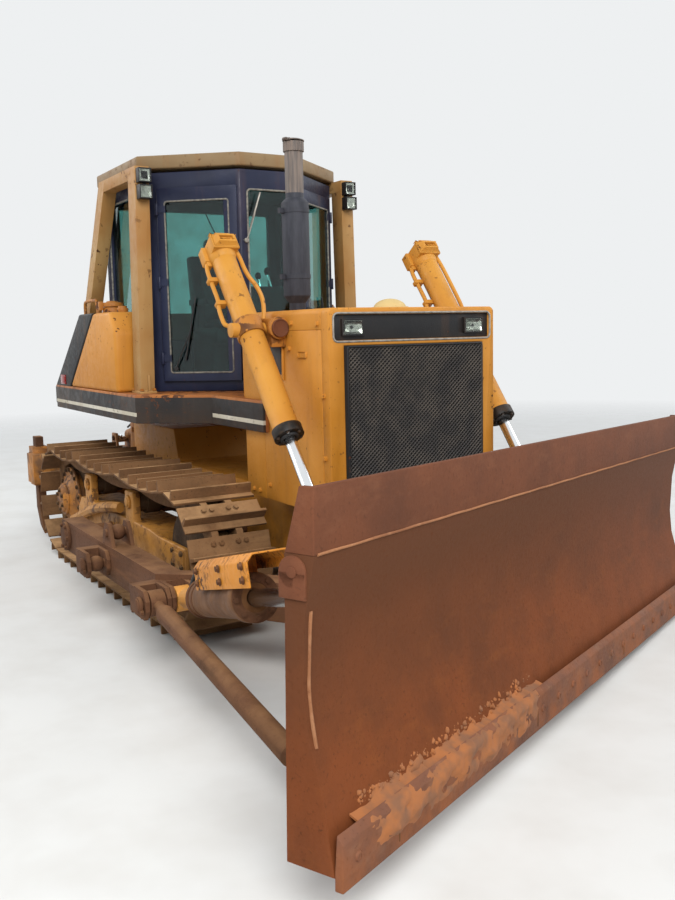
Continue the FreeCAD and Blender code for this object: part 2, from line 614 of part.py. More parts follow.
def deck_room(sign):
    """The room under the fender's plates, beside and behind the cab."""
    turn = "DeckTurnEnd - DeckWall / 2"
    return [(x, "%d * (%s)" % (sign, y)) for x, y in (
        ("DeckRear + DeckWall", "DeckInner + DeckWall"), ("DeckRear + DeckWall", DECK_HALF + " - DeckWall"),
        ("DeckBend - DeckWall / 2", DECK_HALF + " - DeckWall"), (turn, "DeckNarrow - DeckWall"),
        (turn, "DeckInner + DeckWall"))]


deck_bits = [box("deck_middle", ("DeckRear", "CabFront - DeckCorner"), ("-DeckInner", "DeckInner"),
                 ("DeckTop - DeckFloor", "DeckTop"))]
for side, sign in SIDES:
    fender = prism("pan_" + side, "XY", deck_plan(sign), "DeckTop - DeckHigh", "DeckTop")
    pocket(fender, "XY", deck_room(sign), "DeckTop - DeckHigh", "DeckTop - DeckWall")
    deck_bits.append(fender)
keep(join("deck_joined", deck_bits), "deck")

# Cab: a six-sided shell on the deck; the doors lap over openings in the two slanting sides
cab_outer = [
    ("CabFront", "CabFrontHalf"), ("CabBend", "CabHalf"), ("CabRear", "CabHalf"),
    ("CabRear", "-CabHalf"), ("CabBend", "-CabHalf"), ("CabFront", "-CabFrontHalf")]
cab_inner = [
    ("CabFront - CabWall", "CabFrontHalf - CabWall * 0.5"), ("CabBend - CabWall * 0.5", "CabHalf - CabWall"),
    ("CabRear + CabWall", "CabHalf - CabWall"), ("CabRear + CabWall", "-CabHalf + CabWall"),
    ("CabBend - CabWall * 0.5", "-CabHalf + CabWall"),
    ("CabFront - CabWall", "-CabFrontHalf + CabWall * 0.5")]
shell = prism("shell", "XY", cab_outer, "DeckTop", "CabTop")
pocket(shell, "XY", cab_inner, "DeckTop + CabWall", "CabTop - CabWall")
WINDOW_Z = ("WindowLow", "WindowTop")
FRONT_WINDOW = (("-CabFrontHalf + FrontPost", "CabFrontHalf - FrontPost"), ("CowlTop + CowlGap", "WindowTop"))
REAR_WINDOW = (("-CabHalf + WindowMargin", "CabHalf - WindowMargin"), WINDOW_Z)
SIDE_WINDOW = (("CabRear + WindowMargin", "CabBend - WindowMargin"), WINDOW_Z)
pocket(shell, "YZ", frame_of(*FRONT_WINDOW, "0"), "CabFront - CabWall", "CabFront")
pocket(shell, "YZ", frame_of(*REAR_WINDOW, "0"), "CabRear", "CabRear + CabWall")
pocket(shell, "XZ", frame_of(*SIDE_WINDOW, "0"), "-CabHalf", "CabHalf")
SLANT = "sqrt((CabFront - CabBend)^2 + (CabHalf - CabFrontHalf)^2)"
SLANT_TURN = "atan2(CabHalf - CabFrontHalf; CabFront - CabBend)"
DOORWAY = (("DoorStart", SLANT + " - DoorMargin"), ("DoorLow", "DoorTop"))


def on_slant(piece, sign):
    """Set a piece drawn along X on the cab's slanting side, from the bend forwards."""
    return place(piece, "CabBend", "%d * CabHalf" % sign, 0, "%d * %s" % (-sign, SLANT_TURN))


doorways = [on_slant(prism("doorway_" + side, "XZ", frame_of(*DOORWAY, "0"), "-2 * CabWall", "2 * CabWall"), sign)
            for side, sign in SIDES]
keep(cut("shell_with_doorways", shell, group("doorways", doorways)), "cab_shell")
for side, sign in SIDES:
    leaf = prism("leaf_" + side, "XZ", frame_of(*DOORWAY, "-DoorLap"), *spread(sign, "DoorGap", "DoorWall"))
    pocket(leaf, "XZ", frame_of(*DOORWAY, "DoorRail - DoorLap"), *spread(sign, "DoorGap", "DoorWall"))
    keep(on_slant(leaf, sign), "cab_door_" + side)
    pane = prism("door_pane_" + side, "XZ", frame_of(*DOORWAY, "DoorRail - DoorLap"),
                 *spread(sign, "DoorWall / 2", "DoorWall / 2 + GlassWall"))
    keep(on_slant(pane, sign), "door_glass_" + side)
panes = []
for name, window, face in (("front_pane", FRONT_WINDOW, "CabFront - CabWall / 2"),
                           ("rear_pane", REAR_WINDOW, "CabRear + CabWall / 2 + GlassWall")):
    panes.append(prism(name, "YZ", frame_of(*window, "0"), face + " - GlassWall", face))
for side, sign in SIDES:
    panes.append(prism("side_pane_" + side, "XZ", frame_of(*SIDE_WINDOW, "0"),
                       *spread(sign, "CabHalf - CabWall / 2 - GlassWall", "CabHalf - CabWall / 2")))
keep(group("panes", panes), "cab_glass")
FLOOR = "DeckTop + CabWall"

# seat, from its rear foot forwards and from the cab's floor upwards
SEAT_SIDE = ((0, 0), (450, 0), (450, 300), (540, 320), (540, 440), (120, 440), (20, 1050), (-90, 1050),
             (0, 400))
# dashboard, from its rear face forwards and from the cab's floor upwards
CONSOLE_SIDE = ((-90, 0), (80, 0), (90, 620), (30, 760), (-90, 640))
for label, start, half, outline in (("seat", "SeatX", "SeatHalf", SEAT_SIDE),
                                    ("console", "ConsoleX", "ConsoleHalf", CONSOLE_SIDE)):
    side_view = [("%s + %d" % (start, x), "%s + %d" % (FLOOR, z)) for x, z in outline]
    keep(prism(label + "_side", "XZ", side_view, "-" + half, half), label)

# Roof and the guard frame that carries it; its posts lean in from the deck to the roof
ROOF_LOW = "(RoofTop - RoofHigh)"
POST_IN, POST_OUT = "(CabHalf + PostGap)", "(CabHalf + PostGap + PostWide)"
ROOF_HALF = "(%s - RoofIn)" % POST_OUT
keep(prism("roof_slab", "XY", [
    ("CabFront", "CabFrontHalf"), ("CabBend", ROOF_HALF), ("RoofRear + RoofCorner", ROOF_HALF),
    ("RoofRear", ROOF_HALF + " - RoofCorner"), ("RoofRear", "-%s + RoofCorner" % ROOF_HALF),
    ("RoofRear + RoofCorner", "-" + ROOF_HALF), ("CabBend", "-" + ROOF_HALF), ("CabFront", "-CabFrontHalf")],
    ROOF_LOW, "RoofTop"), "roof")


def post(name, foot, head, sign):
    """A guard frame post from its centre line's X at the deck to that at the roof."""
    body = doc.addObject("PartDesign::Body", name)
    ends = []
    for x, out, level in ((foot, "PostLean", "DeckTop"), (head, "0", ROOF_LOW)):
        along = ("%s - PostDeep / 2" % x, "%s + PostDeep / 2" % x)
        across = spread(sign, "%s + %s" % (POST_IN, out), "%s + %s" % (POST_OUT, out))
        ends.append(sketch(body, "XY", frame_of(along, across, "0"), level))
    feature = body.newObject("PartDesign::AdditiveLoft", "Loft")
    feature.Profile = ends[0]
    feature.Sections = [ends[1]]
    feature.Ruled = True
    doc.recompute()
    return body


guard_frames = []
for side, sign in SIDES:
    rail = box("top_rail_" + side, ("PostRearTop - PostDeep / 2", "PostX + PostDeep / 2"),
               spread(sign, POST_IN, POST_OUT), (ROOF_LOW + " - RailHigh", ROOF_LOW))
    front = post("front_post_" + side, "PostX", "PostX", sign)
    rear = post("rear_post_" + side, "PostRearFoot", "PostRearTop", sign)
    guard_frames.append(join("posts_" + side, [front, rear, rail]))
keep(group("posts", guard_frames), "guard_frame")

# Side tanks with sloping covers behind them, let in round the posts, and the fuel tank behind the cab
TANK_SIDE = [
    ("TankRearFoot", "DeckTop"), ("TankFront", "DeckTop"), ("TankFront", "TankTop - TankSlope"),
    ("TankFront - TankSlopeRun", "TankTop"), ("TankRearTop", "TankTop")]
COVER_SIDE = [
    ("CoverRearFoot", "DeckTop"), ("TankRearFoot", "DeckTop"), ("TankRearTop", "TankTop"),
    ("CoverRearTop", "TankTop")]
for label, outline in (("side_tanks", TANK_SIDE), ("rear_covers", COVER_SIDE)):
    halves = []
    for (side, sign), posts in zip(SIDES, guard_frames):
        whole = prism("%s_whole_%s" % (label, side), "XZ", outline, *spread(sign, "CabHalf", DECK_HALF))
        halves.append(cut("%s_cut_%s" % (label, side), whole, posts))
    keep(group(label + "_both", halves), label)
keep(prism("rear_tank", "XZ", [
    ("CoverRearFoot", "DeckTop"), ("CabRear", "DeckTop"), ("CabRear", "TankTop"), ("CoverRearTop", "TankTop")],
    "-CabHalf", "CabHalf"), "fuel_tank")

# Crawler tracks: the chain's pins lie on the loop's middle line
RAIL_Z = "(LugHigh + ShoePlate + LinkHigh)"
WHEEL_Z = "(LugHigh + ShoePlate + LinkHigh / 2 + EndR)"
HALF_TURN = "(((2 * (IdlerX - SprocketX) + 2 * pi * EndR) / ShoeCount / EndR) * 90 / pi)"
RIM_R = "(EndR * cos(%s) - LinkHigh / 2 - RunGap)" % HALF_TURN


def track_pins():
    """Pin positions round the loop, from the middle of the sprocket's lower side forwards."""
    radius, low = number("EndR"), number("LugHigh + ShoePlate + LinkHigh / 2")
    centre = low + radius
    front, rear = number("IdlerX"), number("SprocketX")
    run, arc = front - rear, math.pi * number("EndR")
    count = int(number("ShoeCount"))
    pins = []
    for k in range(count):
        along = (2 * run + 2 * arc) * k / count
        if along < run:
            pins.append((rear + along, low))
        elif along < run + arc:
            turn = (along - run) / radius
            pins.append((front + radius * math.sin(turn), centre - radius * math.cos(turn)))
        elif along < 2 * run + arc:
            back = along - run - arc
            pins.append((front - back, centre + radius - upper_dip(front - back)))
        else:
            turn = (along - 2 * run - arc) / radius
            pins.append((rear - radius * math.sin(turn), centre + radius * math.cos(turn)))
    return pins


def upper_dip(x):
    """How far the upper run sags at x, between the wheels that hold it up."""
    holds = [number(word) for word in ("SprocketX", "CarrierRear", "CarrierFront", "IdlerX")]
    for low, high in zip(holds, holds[1:]):
        if low <= x <= high:
            part = (x - low) / (high - low)
            return number("TrackSag") * 4 * part * (1 - part)
    return 0


def slab(points, low, high):
    """A closed outline in the side view as a solid between two Y."""
    wire = Part.makePolygon([FreeCAD.Vector(x, low, z) for x, z in points + points[:1]])
    return Part.Face(wire).extrude(FreeCAD.Vector(0, high - low, 0))


def track_shape(sign):
    """Shoes with their lugs on two rows of links, as one solid."""
    pins = [FreeCAD.Vector(x, 0, z) for x, z in track_pins()]
    half, plate, lug, tip, gap = (
        number(word) for word in ("LinkHigh / 2", "ShoePlate", "LugHigh", "LugWide", "ShoeGap"))
    middle, wide = sign * number("Gauge / 2"), number("ShoeWide / 2")
    shoes, outer, inner = [], [], []
    for before, a, b in zip(pins[-1:] + pins[:-1], pins, pins[1:] + pins[:1]):
        along, came = (b - a).normalize(), (a - before).normalize()
        out, span = FreeCAD.Vector(along.z, 0, -along.x), (b - a).Length
        root = 0.3 * span
        section = [(gap / 2, half), (span - gap / 2, half), (span - gap / 2, half + plate),
                   (root + 1.3 * tip, half + plate), (root + tip, half + plate + lug),
                   (root, half + plate + lug), (root - 0.3 * tip, half + plate), (gap / 2, half + plate)]
        spots = [a + along * u + out * v for u, v in section]
        shoes.append(slab([(spot.x, spot.z) for spot in spots], middle - wide, middle + wide))
        lean = (out + FreeCAD.Vector(came.z, 0, -came.x)).normalize()
        reach = half / lean.dot(out)
        outer.append((a.x + lean.x * reach, a.z + lean.z * reach))
        inner.append((a.x - lean.x * reach, a.z - lean.z * reach))
    chains = []
    for offset in (-number("LinkApart / 2"), number("LinkApart / 2")):
        low, high = (middle + offset + end * number("LinkWide / 2") for end in (-1, 1))
        chains.append(slab(outer, low, high).cut(slab(inner, low - 1, high + 1)))
    return chains[0].multiFuse(chains[1:] + shoes)


for side, sign in SIDES:
    track = doc.addObject("Part::Feature", "loop_" + side)
    track.Shape = track_shape(sign)
    keep(track, "track_" + side)

# Wheels of the undercarriage, drawn from the inner side of the chain outwards
CHAIN_WIDE = "(LinkApart + LinkWide)"
INNER_SIDE = "(Gauge / 2 - LinkApart / 2 - LinkWide / 2)"
FLANGE_IN, FLANGE_OUT = "LinkWide + FlangeGap", CHAIN_WIDE + " - LinkWide - FlangeGap"
FRAME_LOW = "(%s + 2 * RollerR + FlangeHigh + FrameGap)" % RAIL_Z
FRAME_TOP = "(%s + FrameHigh)" % FRAME_LOW


def flanged(name, rim, pin, reach):
    """A wheel whose middle flange runs between the links, on a pin that stands out by reach."""
    near, far = "-(%s)" % reach, "%s + %s" % (CHAIN_WIDE, reach)
    return turned(name, [
        (0, near), (pin, near), (pin, 0), (rim, 0), (rim, FLANGE_IN), (rim + " + FlangeHigh", FLANGE_IN),
        (rim + " + FlangeHigh", FLANGE_OUT), (rim, FLANGE_OUT), (rim, CHAIN_WIDE), (pin, CHAIN_WIDE),
        (pin, far), (0, far)])


# carrier roller's name, its place lengthwise
CARRIERS = (("front", "CarrierFront"), ("rear", "CarrierRear"))
CARRIER_Z = "(%s + EndR - LinkHigh / 2 - CarrierR - CarrierDrop)" % WHEEL_Z
FRAME_REAR, FORK_REAR = "(SprocketX + EndR + FrameEnd)", "(IdlerX - EndR)"
SKIRT_LOW = "(%s - RollerR - FrameSkirt)" % FRAME_LOW
FORK_SPACE = "(FrameHalf - ForkWall - %s / 2)" % CHAIN_WIDE
idlers, sprockets, drives, beams, rollers, axles = [], [], [], [], [], []
for side, sign in SIDES:
    roll, start = -90 * sign, "%d * %s" % (sign, INNER_SIDE)
    idler = flanged("idler_wheel_" + side, RIM_R, "IdlerPinR", FORK_SPACE)
    idlers.append(place(idler, "IdlerX", start, WHEEL_Z, roll=roll))
    sprocket = turned("sprocket_ring_" + side, [
        ("DriveR", FLANGE_IN), (RIM_R + " + ToothHigh", FLANGE_IN), (RIM_R + " + ToothHigh", FLANGE_OUT),
        ("DriveR", FLANGE_OUT)])
    sprockets.append(place(sprocket, "SprocketX", start, WHEEL_Z, roll=roll))
    drive = turned("drive_case_" + side, [
        (0, "HullHalf"), ("DriveR", "HullHalf"), ("DriveR", "Gauge / 2 + DriveReach / 2"),
        ("DriveCapR", "Gauge / 2 + DriveReach * 0.8"), ("DriveCapR * 0.8", "Gauge / 2 + DriveReach"),
        (0, "Gauge / 2 + DriveReach")])
    drives.append(place(drive, "SprocketX", 0, WHEEL_Z, roll=roll))
    beam = prism("beam_" + side, "XZ", [
        (FRAME_REAR, FRAME_LOW), (FRAME_REAR, SKIRT_LOW), (FORK_REAR, SKIRT_LOW),
        (FORK_REAR + " + FrameEnd", WHEEL_Z + " - ForkHigh"), ("IdlerX + ForkReach", WHEEL_Z + " - ForkHigh"),
        ("IdlerX + ForkReach", WHEEL_Z + " + ForkHigh"), (FORK_REAR, WHEEL_Z + " + ForkHigh"),
        (FORK_REAR + " - FrameRise", FRAME_TOP), (FRAME_REAR + " + FrameHigh / 2", FRAME_TOP),
        (FRAME_REAR, FRAME_TOP + " - FrameHigh / 2")], *spread(sign, "Gauge / 2 - FrameHalf", "Gauge / 2 + FrameHalf"))
    slot = spread(sign, "Gauge / 2 - FrameHalf + ForkWall", "Gauge / 2 + FrameHalf - ForkWall")
    pocket(beam, "XY", frame_of((FORK_REAR + " - FrameEnd", "IdlerX + ForkReach + 1"), slot, "0"), "0", FRAME_TOP)
    pocket(beam, "XY", frame_of((FRAME_REAR + " - 1", FORK_REAR + " + FrameEnd"), slot, "0"), "0", FRAME_LOW)
    stands = [box("stand_%s_%s" % (name, side), (x + " - TowerHalf", x + " + TowerHalf"),
                  spread(sign, "Gauge / 2 + %s / 2 + TowerGap" % CHAIN_WIDE, "Gauge / 2 + FrameHalf"),
                  (FRAME_TOP + " - 5", CARRIER_Z + " + TowerTop")) for name, x in CARRIERS]
    beams.append(join("track_beam_" + side, [beam] + stands))
    for k in range(int(number("RollerCount"))):
        wheel = flanged("roller_%d_%s" % (k, side), "RollerR", "RollerPinR", FORK_SPACE)
        first, span = "(SprocketX + EndR + RollerEnd)", "(IdlerX - SprocketX - 2 * EndR - 2 * RollerEnd)"
        place(wheel, "%s + %d * %s / (RollerCount - 1)" % (first, k, span), start,
              "%s + RollerR + RunGap" % RAIL_Z, roll=roll)
        rollers.append(wheel)
    for name, x in CARRIERS:
        wheel = turned("carrier_%s_%s" % (name, side), [
            (0, 0), ("CarrierR", 0), ("CarrierR", FLANGE_IN), ("CarrierR + FlangeHigh", FLANGE_IN),
            ("CarrierR + FlangeHigh", FLANGE_OUT), ("CarrierR", FLANGE_OUT), ("CarrierR", CHAIN_WIDE),
            ("CarrierPinR", CHAIN_WIDE), ("CarrierPinR", CHAIN_WIDE + " + TowerGap"), (0, CHAIN_WIDE + " + TowerGap")])
        rollers.append(place(wheel, x, start, CARRIER_Z, roll=roll))
    pin = rod("hinge_shaft_" + side, "HingePinR", "ArmY + ArmWide / 2 + HingeReach - Gauge / 2 - FrameHalf")
    axles.append(place(pin, "HingeX", "%d * (Gauge / 2 + FrameHalf)" % sign, "HingeZ", roll=roll))
    for name, x in (("pivot", "CaseFront + 2 * AxleR"), ("front", FORK_REAR + " - FrameRise - AxleR")):
        bar = rod("axle_%s_%s" % (name, side), "AxleR", "Gauge / 2 - FrameHalf - HullHalf")
        axles.append(place(bar, x, "%d * HullHalf" % sign, FRAME_TOP + " - AxleDrop", roll=roll))
for parts, label in ((idlers, "idlers"), (sprockets, "sprockets"), (drives, "final_drives"),
                     (beams, "track_frames"), (rollers, "track_rollers"), (axles, "frame_axles")):
    keep(group(label + "_both", parts), label)


# Blade frame: two arms outside the tracks that meet in a nose behind the blade's ball
def beside_eye(y, gap, sign=1):
    """Lowest and highest Y of the two plates beside an eye that is centred at y."""
    inner, outer = "(EyeWide / 2 + %s)" % gap, "(EyeWide / 2 + %s + EarWall)" % gap
    return [("%d * (%s) - %s" % (sign, y, outer), "%d * (%s) - %s" % (sign, y, inner)),
            ("%d * (%s) + %s" % (sign, y, inner), "%d * (%s) + %s" % (sign, y, outer))]


def ears(name, x, y, z, sign):
    """Two upright plates on the arms, one each side of an eye."""
    outline = [("%s + %s" % (x, dx), height) for dx, height in (
        ("-EarFoot", ARM_TOP), ("EarFoot", ARM_TOP), ("EarNeck", z + " + EarRise"), ("EarTip", z + " + EarTop"),
        ("-EarTip", z + " + EarTop"), ("-EarNeck", z + " + EarRise"))]
    return [prism(name, "XZ", outline, *across) for across in beside_eye(y, "EarGap", sign)]


def cheeks(name, x, y, z, sign):
    """Two plates that reach forward, one each side of an eye."""
    outline = [("%s + %s" % (x, dx), "%s + %s" % (z, dz)) for dx, dz in (
        ("-CheekBack", "-CheekHigh"), ("CheekTip", "-CheekHigh"), ("CheekFront", "-CheekTip"),
        ("CheekFront", "CheekTip"), ("CheekTip", "CheekHigh"), ("-CheekBack", "CheekHigh"))]
    return [prism(name, "XZ", outline, *across) for across in beside_eye(y, "EarGap", sign)]


ARM_IN, ARM_OUT = "(ArmY - ArmWide / 2)", "(ArmY + ArmWide / 2)"
ARM_TOP = "(HingeZ + ArmHigh / 2)"
ARM_REAR = "HingeX - ArmEnd"
outer_line = [(ARM_REAR, ARM_OUT), ("ArmBend", ARM_OUT), ("ArmBend + BendRun", "ArmY - BendOut"),
              ("BallX - CrossFront", "ArmY - CrossOut"), ("BallX - NoseOuter", "NoseHalf")]
inner_line = [("BallX - NoseInner", "0"), ("BallX - CrossRear", "ArmY - CrossIn"),
              ("ArmBend + BendInRun", "ArmY - BendIn"), ("ArmBend", ARM_IN), (ARM_REAR, ARM_IN)]
frame_plan = outer_line + [(x, "-(%s)" % y) for x, y in reversed(outer_line)]
frame_plan += [(x, "-(%s)" % y) for x, y in reversed(inner_line)] + inner_line[1:]
arms = prism("arms", "XY", frame_plan, "HingeZ - ArmHigh / 2", ARM_TOP)
ball = sphere("ball", "BallR", ("BallX", 0, "BallZ"))
neck = place(rod("neck", "BallNeckR", "BallNeck"), "BallX - BallNeck", 0, "BallZ", pitch=90)
frame_bits = [arms, ball, neck]

OUTSIDE_Y = "ArmY + StrutOut"
UPPER_FOOT_Z = "(%s + StrutUp)" % ARM_TOP
for side, sign in SIDES:
    frame_bits += ears("lift_ear_" + side, "LiftEyeX", "LiftY", "LiftEyeZ", sign)
    beside = "EyeWide / 2 + EarGap + EarWall"
    frame_bits.append(box("ear_foot_" + side, ("LiftEyeX - EarFoot", "LiftEyeX + EarFoot"),
                          spread(sign, "LiftY - (%s + EarWall)" % beside, "LiftY + " + beside),
                          ("HingeZ - ArmHigh / 4", ARM_TOP)))
    frame_bits += ears("rear_ear_" + side, "StrutRearX", "ArmY", UPPER_FOOT_Z, sign)
    for x, near in (("StrutX", "ArmY - ArmWide / 2"), ("StrutRearX", "ArmY")):
        frame_bits.append(box("bracket_" + side, (x + " - BracketRear", x + " - BracketFront"),
                              spread(sign, near, OUTSIDE_Y + " + EyeWide / 2 + EarGap + EarWall"),
                              ("HingeZ - BracketHigh", "HingeZ + BracketHigh")))
        frame_bits += cheeks("cheek_" + side, x, OUTSIDE_Y, "HingeZ", sign)
    frame_bits += cheeks("cheek_in_" + side, "StrutX", "ArmY", "HingeZ", sign)
    reach = "(EyeWide / 2 + EarGap + EarWall + PinReach)"
    for x, y, z in (("StrutX", OUTSIDE_Y, "HingeZ"), ("StrutRearX", OUTSIDE_Y, "HingeZ"),
                    ("StrutX", "ArmY", "HingeZ"), ("StrutRearX", "ArmY", UPPER_FOOT_Z)):
        pin = rod("eye_pin_" + side, "PinR", "2 * " + reach)
        frame_bits.append(place(pin, x, "%d * (%s) - %s" % (sign, y, reach), z, roll=-90))
        frame_bits.append(sphere("foot_ball_" + side, "FootBallR", (x, "%d * (%s)" % (sign, y), z)))
holes = [place(rod("pin_hole_" + side, "HingePinR + PinGap", "2 * ArmWide"), "HingeX",
               "%d * (ArmY - ArmWide)" % sign, "HingeZ", roll=-90 * sign) for side, sign in SIDES]
keep(cut("frame_cut", join("frame_joined", frame_bits), group("pin_holes", holes)), "c_frame")

# Lift cylinders, hung by trunnions in yokes beside the hood
LIFT_TURN = "atan2(LiftEyeX - LiftPivotX; LiftEyeZ - LiftPivotZ)"
LIFT_RUN = "sqrt((LiftEyeX - LiftPivotX)^2 + (LiftPivotZ - LiftEyeZ)^2)"
ROD_START = "(%s - LiftBelow + LiftClear - LiftStroke)" % LIFT_RUN
for side, sign in SIDES:
    y = "%d * LiftY" % sign
    barrel = turned("lift_tube_" + side, [
        (0, "-LiftHead"), ("LiftBarrelR", "-LiftHead"), ("LiftBarrelR", "LiftBelow - LiftCap"),
        ("LiftBarrelR + LiftGland", "LiftBelow - LiftCap"), ("LiftBarrelR + LiftGland", "LiftBelow"), (0, "LiftBelow")])
    place(barrel, "LiftPivotX", y, "LiftPivotZ", pitch=LIFT_TURN)
    trunnion = place(rod("lift_trunnion_" + side, "TrunnionR", "2 * (LiftBarrelR + TrunnionReach)"), "LiftPivotX",
                     "%s - LiftBarrelR - TrunnionReach" % y, "LiftPivotZ", roll=-90)
    bore = turned("lift_bore_" + side, [
        (0, "-LiftHead + LiftCap"), ("LiftRodR + RodGap", "-LiftHead + LiftCap"),
        ("LiftRodR + RodGap", "LiftBelow + 1"), (0, "LiftBelow + 1")])
    place(bore, "LiftPivotX", y, "LiftPivotZ", pitch=LIFT_TURN)
    keep(cut("lift_cut_" + side, join("lift_whole_" + side, [barrel, trunnion]), bore), "lift_barrel_" + side)
    shaft = turned("lift_shaft_" + side, [
        (0, ROD_START), ("LiftRodR", ROD_START), ("LiftRodR", LIFT_RUN), (0, LIFT_RUN)])
    place(shaft, "LiftPivotX", y, "LiftPivotZ", pitch=LIFT_TURN)
    eye = rod("lift_eye_" + side, "EyeR", "EyeWide")
    place(eye, "LiftEyeX", "%s - EyeWide / 2" % y, "LiftEyeZ", roll=-90)
    keep(join("lift_rod_whole_" + side, [shaft, eye]), "lift_rod_" + side)
    block = box("yoke_block_" + side, ("LiftPivotX - YokeHalf", "LiftPivotX + YokeHalf"),
                spread(sign, "HoodHalf", "LiftY - LiftBarrelR - YokeGap"),
                ("LiftPivotZ - YokeHalf", "LiftPivotZ + YokeTop"))
    hole = place(rod("yoke_hole_" + side, "TrunnionR + PinGap", "2 * TrunnionReach"), "LiftPivotX",
                 "%d * (LiftY - LiftBarrelR - TrunnionReach - YokeGap / 2)" % sign, "LiftPivotZ", roll=-90 * sign)
    keep(cut("yoke_" + side, block, hole), "lift_yoke_" + side)

# Blade, drawn level and square with its ball at the origin, then turned to its place
def from_ball(outline):
    """Heights above ground as heights above the ball."""
    return [(x, "%s - BallZ" % z) for x, z in outline]


def on_blade(piece):
    """Turn a piece of the blade to the angle and tilt that it has at rest."""
    return place(piece, "BallX", 0, "BallZ", "BladeYaw", 0, "BladeRoll")


LENGTH = ("-BladeRight", "BladeLeft")
# the curved plate's face: depth of its hollow as a share of the full one, height above its foot
FACE_HOLLOW = ((0.65, 460), (1, 610), (0.83, 850))
FACE = [("BladeSet + BladeCurl", "BladeLow"), ("BladeSet + BladeCurl * 0.4", "BladeLow + 250")]
FACE += [("BladeSet - BladeHollow * %s" % share, "BladeLow + %d" % rise) for share, rise in FACE_HOLLOW]
FACE.append(("BladeSet", "BladeTop"))
PLATE_BACK = [("(%s) - PlateWall" % x, z) for x, z in reversed(FACE)]
RIB_BACK = [("BladeSet - BladeDeep", "BladeLow"), ("BladeSet - BladeDeep", "BladeTop")]
RIBS = 9
board_bits = [prism("board", "XZ", from_ball(FACE + PLATE_BACK), *LENGTH)]
for k in range(RIBS):
    y = "-BladeRight + PlateWall / 2 + %d * (BladeRight + BladeLeft - PlateWall) / %d" % (k, RIBS - 1)
    board_bits.append(prism("rib_%d" % k, "XZ", from_ball(PLATE_BACK + RIB_BACK),
                            "%s - PlateWall / 2" % y, "%s + PlateWall / 2" % y))
for low, high in (("BladeLow", "BladeLow + PlateWall"), ("BladeTop - PlateWall", "BladeTop")):
    board_bits.append(box("flange", ("BladeSet - BladeDeep", "BladeSet - PlateWall / 2"), LENGTH,
                          (low + " - BallZ", high + " - BallZ")))
LUG_ROOT = "BladeSet - BladeHollow - LugSink"
for sign in (-1, 1):
    for y, z, low in (("LowLugY", "LowLugZ", "BladeLow - BallZ"), ("TopLugY", "TopLugZ", "TopLugZ - LugRise")):
        for across in beside_eye(y, "LugGap", sign):
            board_bits.append(prism("lug", "XZ", [
                ("LugBack - LugHalf", z + " - LugHalf"), ("BladeSet - BladeDeep", low), (LUG_ROOT, low),
                (LUG_ROOT, z + " + LugRise"), ("LugBack - LugHalf", z + " + LugHalf")], *across))
socket = box("socket", ("-SocketBack", "BladeSet"), ("-SocketHalf", "SocketHalf"), ("-SocketHigh", "SocketHigh"))
room = sphere("socket_room", "BallR + PinGap", (0, 0, 0))
beyond = prism("before_face", "XZ", from_ball(
    FACE + [("2 * BladeSet + BladeCurl", "BladeTop"), ("2 * BladeSet + BladeCurl", "BladeLow")]),
    "-SocketHalf - 1", "SocketHalf + 1")
board_bits.append(cut("socket_shell", socket, join("socket_tools", [room, beyond])))
keep(on_blade(join("board_joined", board_bits)), "moldboard")

SPILL_TOP = "BladeTop + SpillHigh"
spill_bits = [prism("spill", "XZ", from_ball([
    ("BladeSet - PlateWall", "BladeTop"), ("BladeSet", "BladeTop"), ("BladeSet", SPILL_TOP),
    ("BladeSet - PlateWall", SPILL_TOP)]), *LENGTH)]
for low, high in ((LENGTH[0], LENGTH[0] + " + PlateWall"), (LENGTH[1] + " - PlateWall", LENGTH[1])):
    spill_bits.append(prism("spill_end", "XZ", from_ball([
        ("BladeSet - BladeDeep", "BladeTop"), ("BladeSet - PlateWall", "BladeTop"), ("BladeSet - PlateWall", SPILL_TOP),
        ("BladeSet - SpillFoot", SPILL_TOP)]), low, high))
keep(on_blade(join("spill_joined", spill_bits)), "spill_plate")
keep(on_blade(prism("edge", "XZ", from_ball([
    ("BladeSet + BladeCurl", "BladeLow + EdgeLap"), ("BladeSet + BladeCurl", "EdgeLow"),
    ("BladeSet + BladeCurl + EdgeWall", "EdgeLow"),
    ("BladeSet + BladeCurl + EdgeWall", "BladeLow + EdgeTop - EdgeBevel"),
    ("BladeSet + BladeCurl + EdgeLip", "BladeLow + EdgeTop")]), *LENGTH)), "cutting_edge")


# Struts: from brackets on the arms to lugs on the blade's back
def blade_point(y, z):
    """A lug's place in the machine, from its place along and above the blade's ball."""
    along = "((%s) * cos(BladeRoll) - (%s) * sin(BladeRoll))" % (y, z)
    up = "((%s) * sin(BladeRoll) + (%s) * cos(BladeRoll))" % (y, z)
    return ("(BallX + LugBack * cos(BladeYaw) - %s * sin(BladeYaw))" % along,
            "(LugBack * sin(BladeYaw) + %s * cos(BladeYaw))" % along, "(BallZ + %s)" % up)


def aim(piece, foot, head):
    """Set a piece drawn along its own Z on the line from foot to head."""
    dx, dy, dz = ("(%s - %s)" % (far, near) for near, far in zip(foot, head))
    return place(piece, *foot, yaw="atan2(%s; %s)" % (dy, dx), pitch="atan2(hypot(%s; %s); %s)" % (dx, dy, dz))


def run_of(foot, head):
    """The length from foot to head."""
    return "sqrt(%s)" % " + ".join("(%s - %s)^2" % (far, near) for near, far in zip(foot, head))


def foot_eye(name, spot):
    """An eye across Y that turns on a ball."""
    x, y, z = spot
    eye = place(rod(name, "FootR", "EyeWide"), x, "%s - EyeWide / 2" % y, z, roll=-90)
    return cut(name + "_bored", eye, sphere(name + "_room", "FootBallR + PinGap", spot))


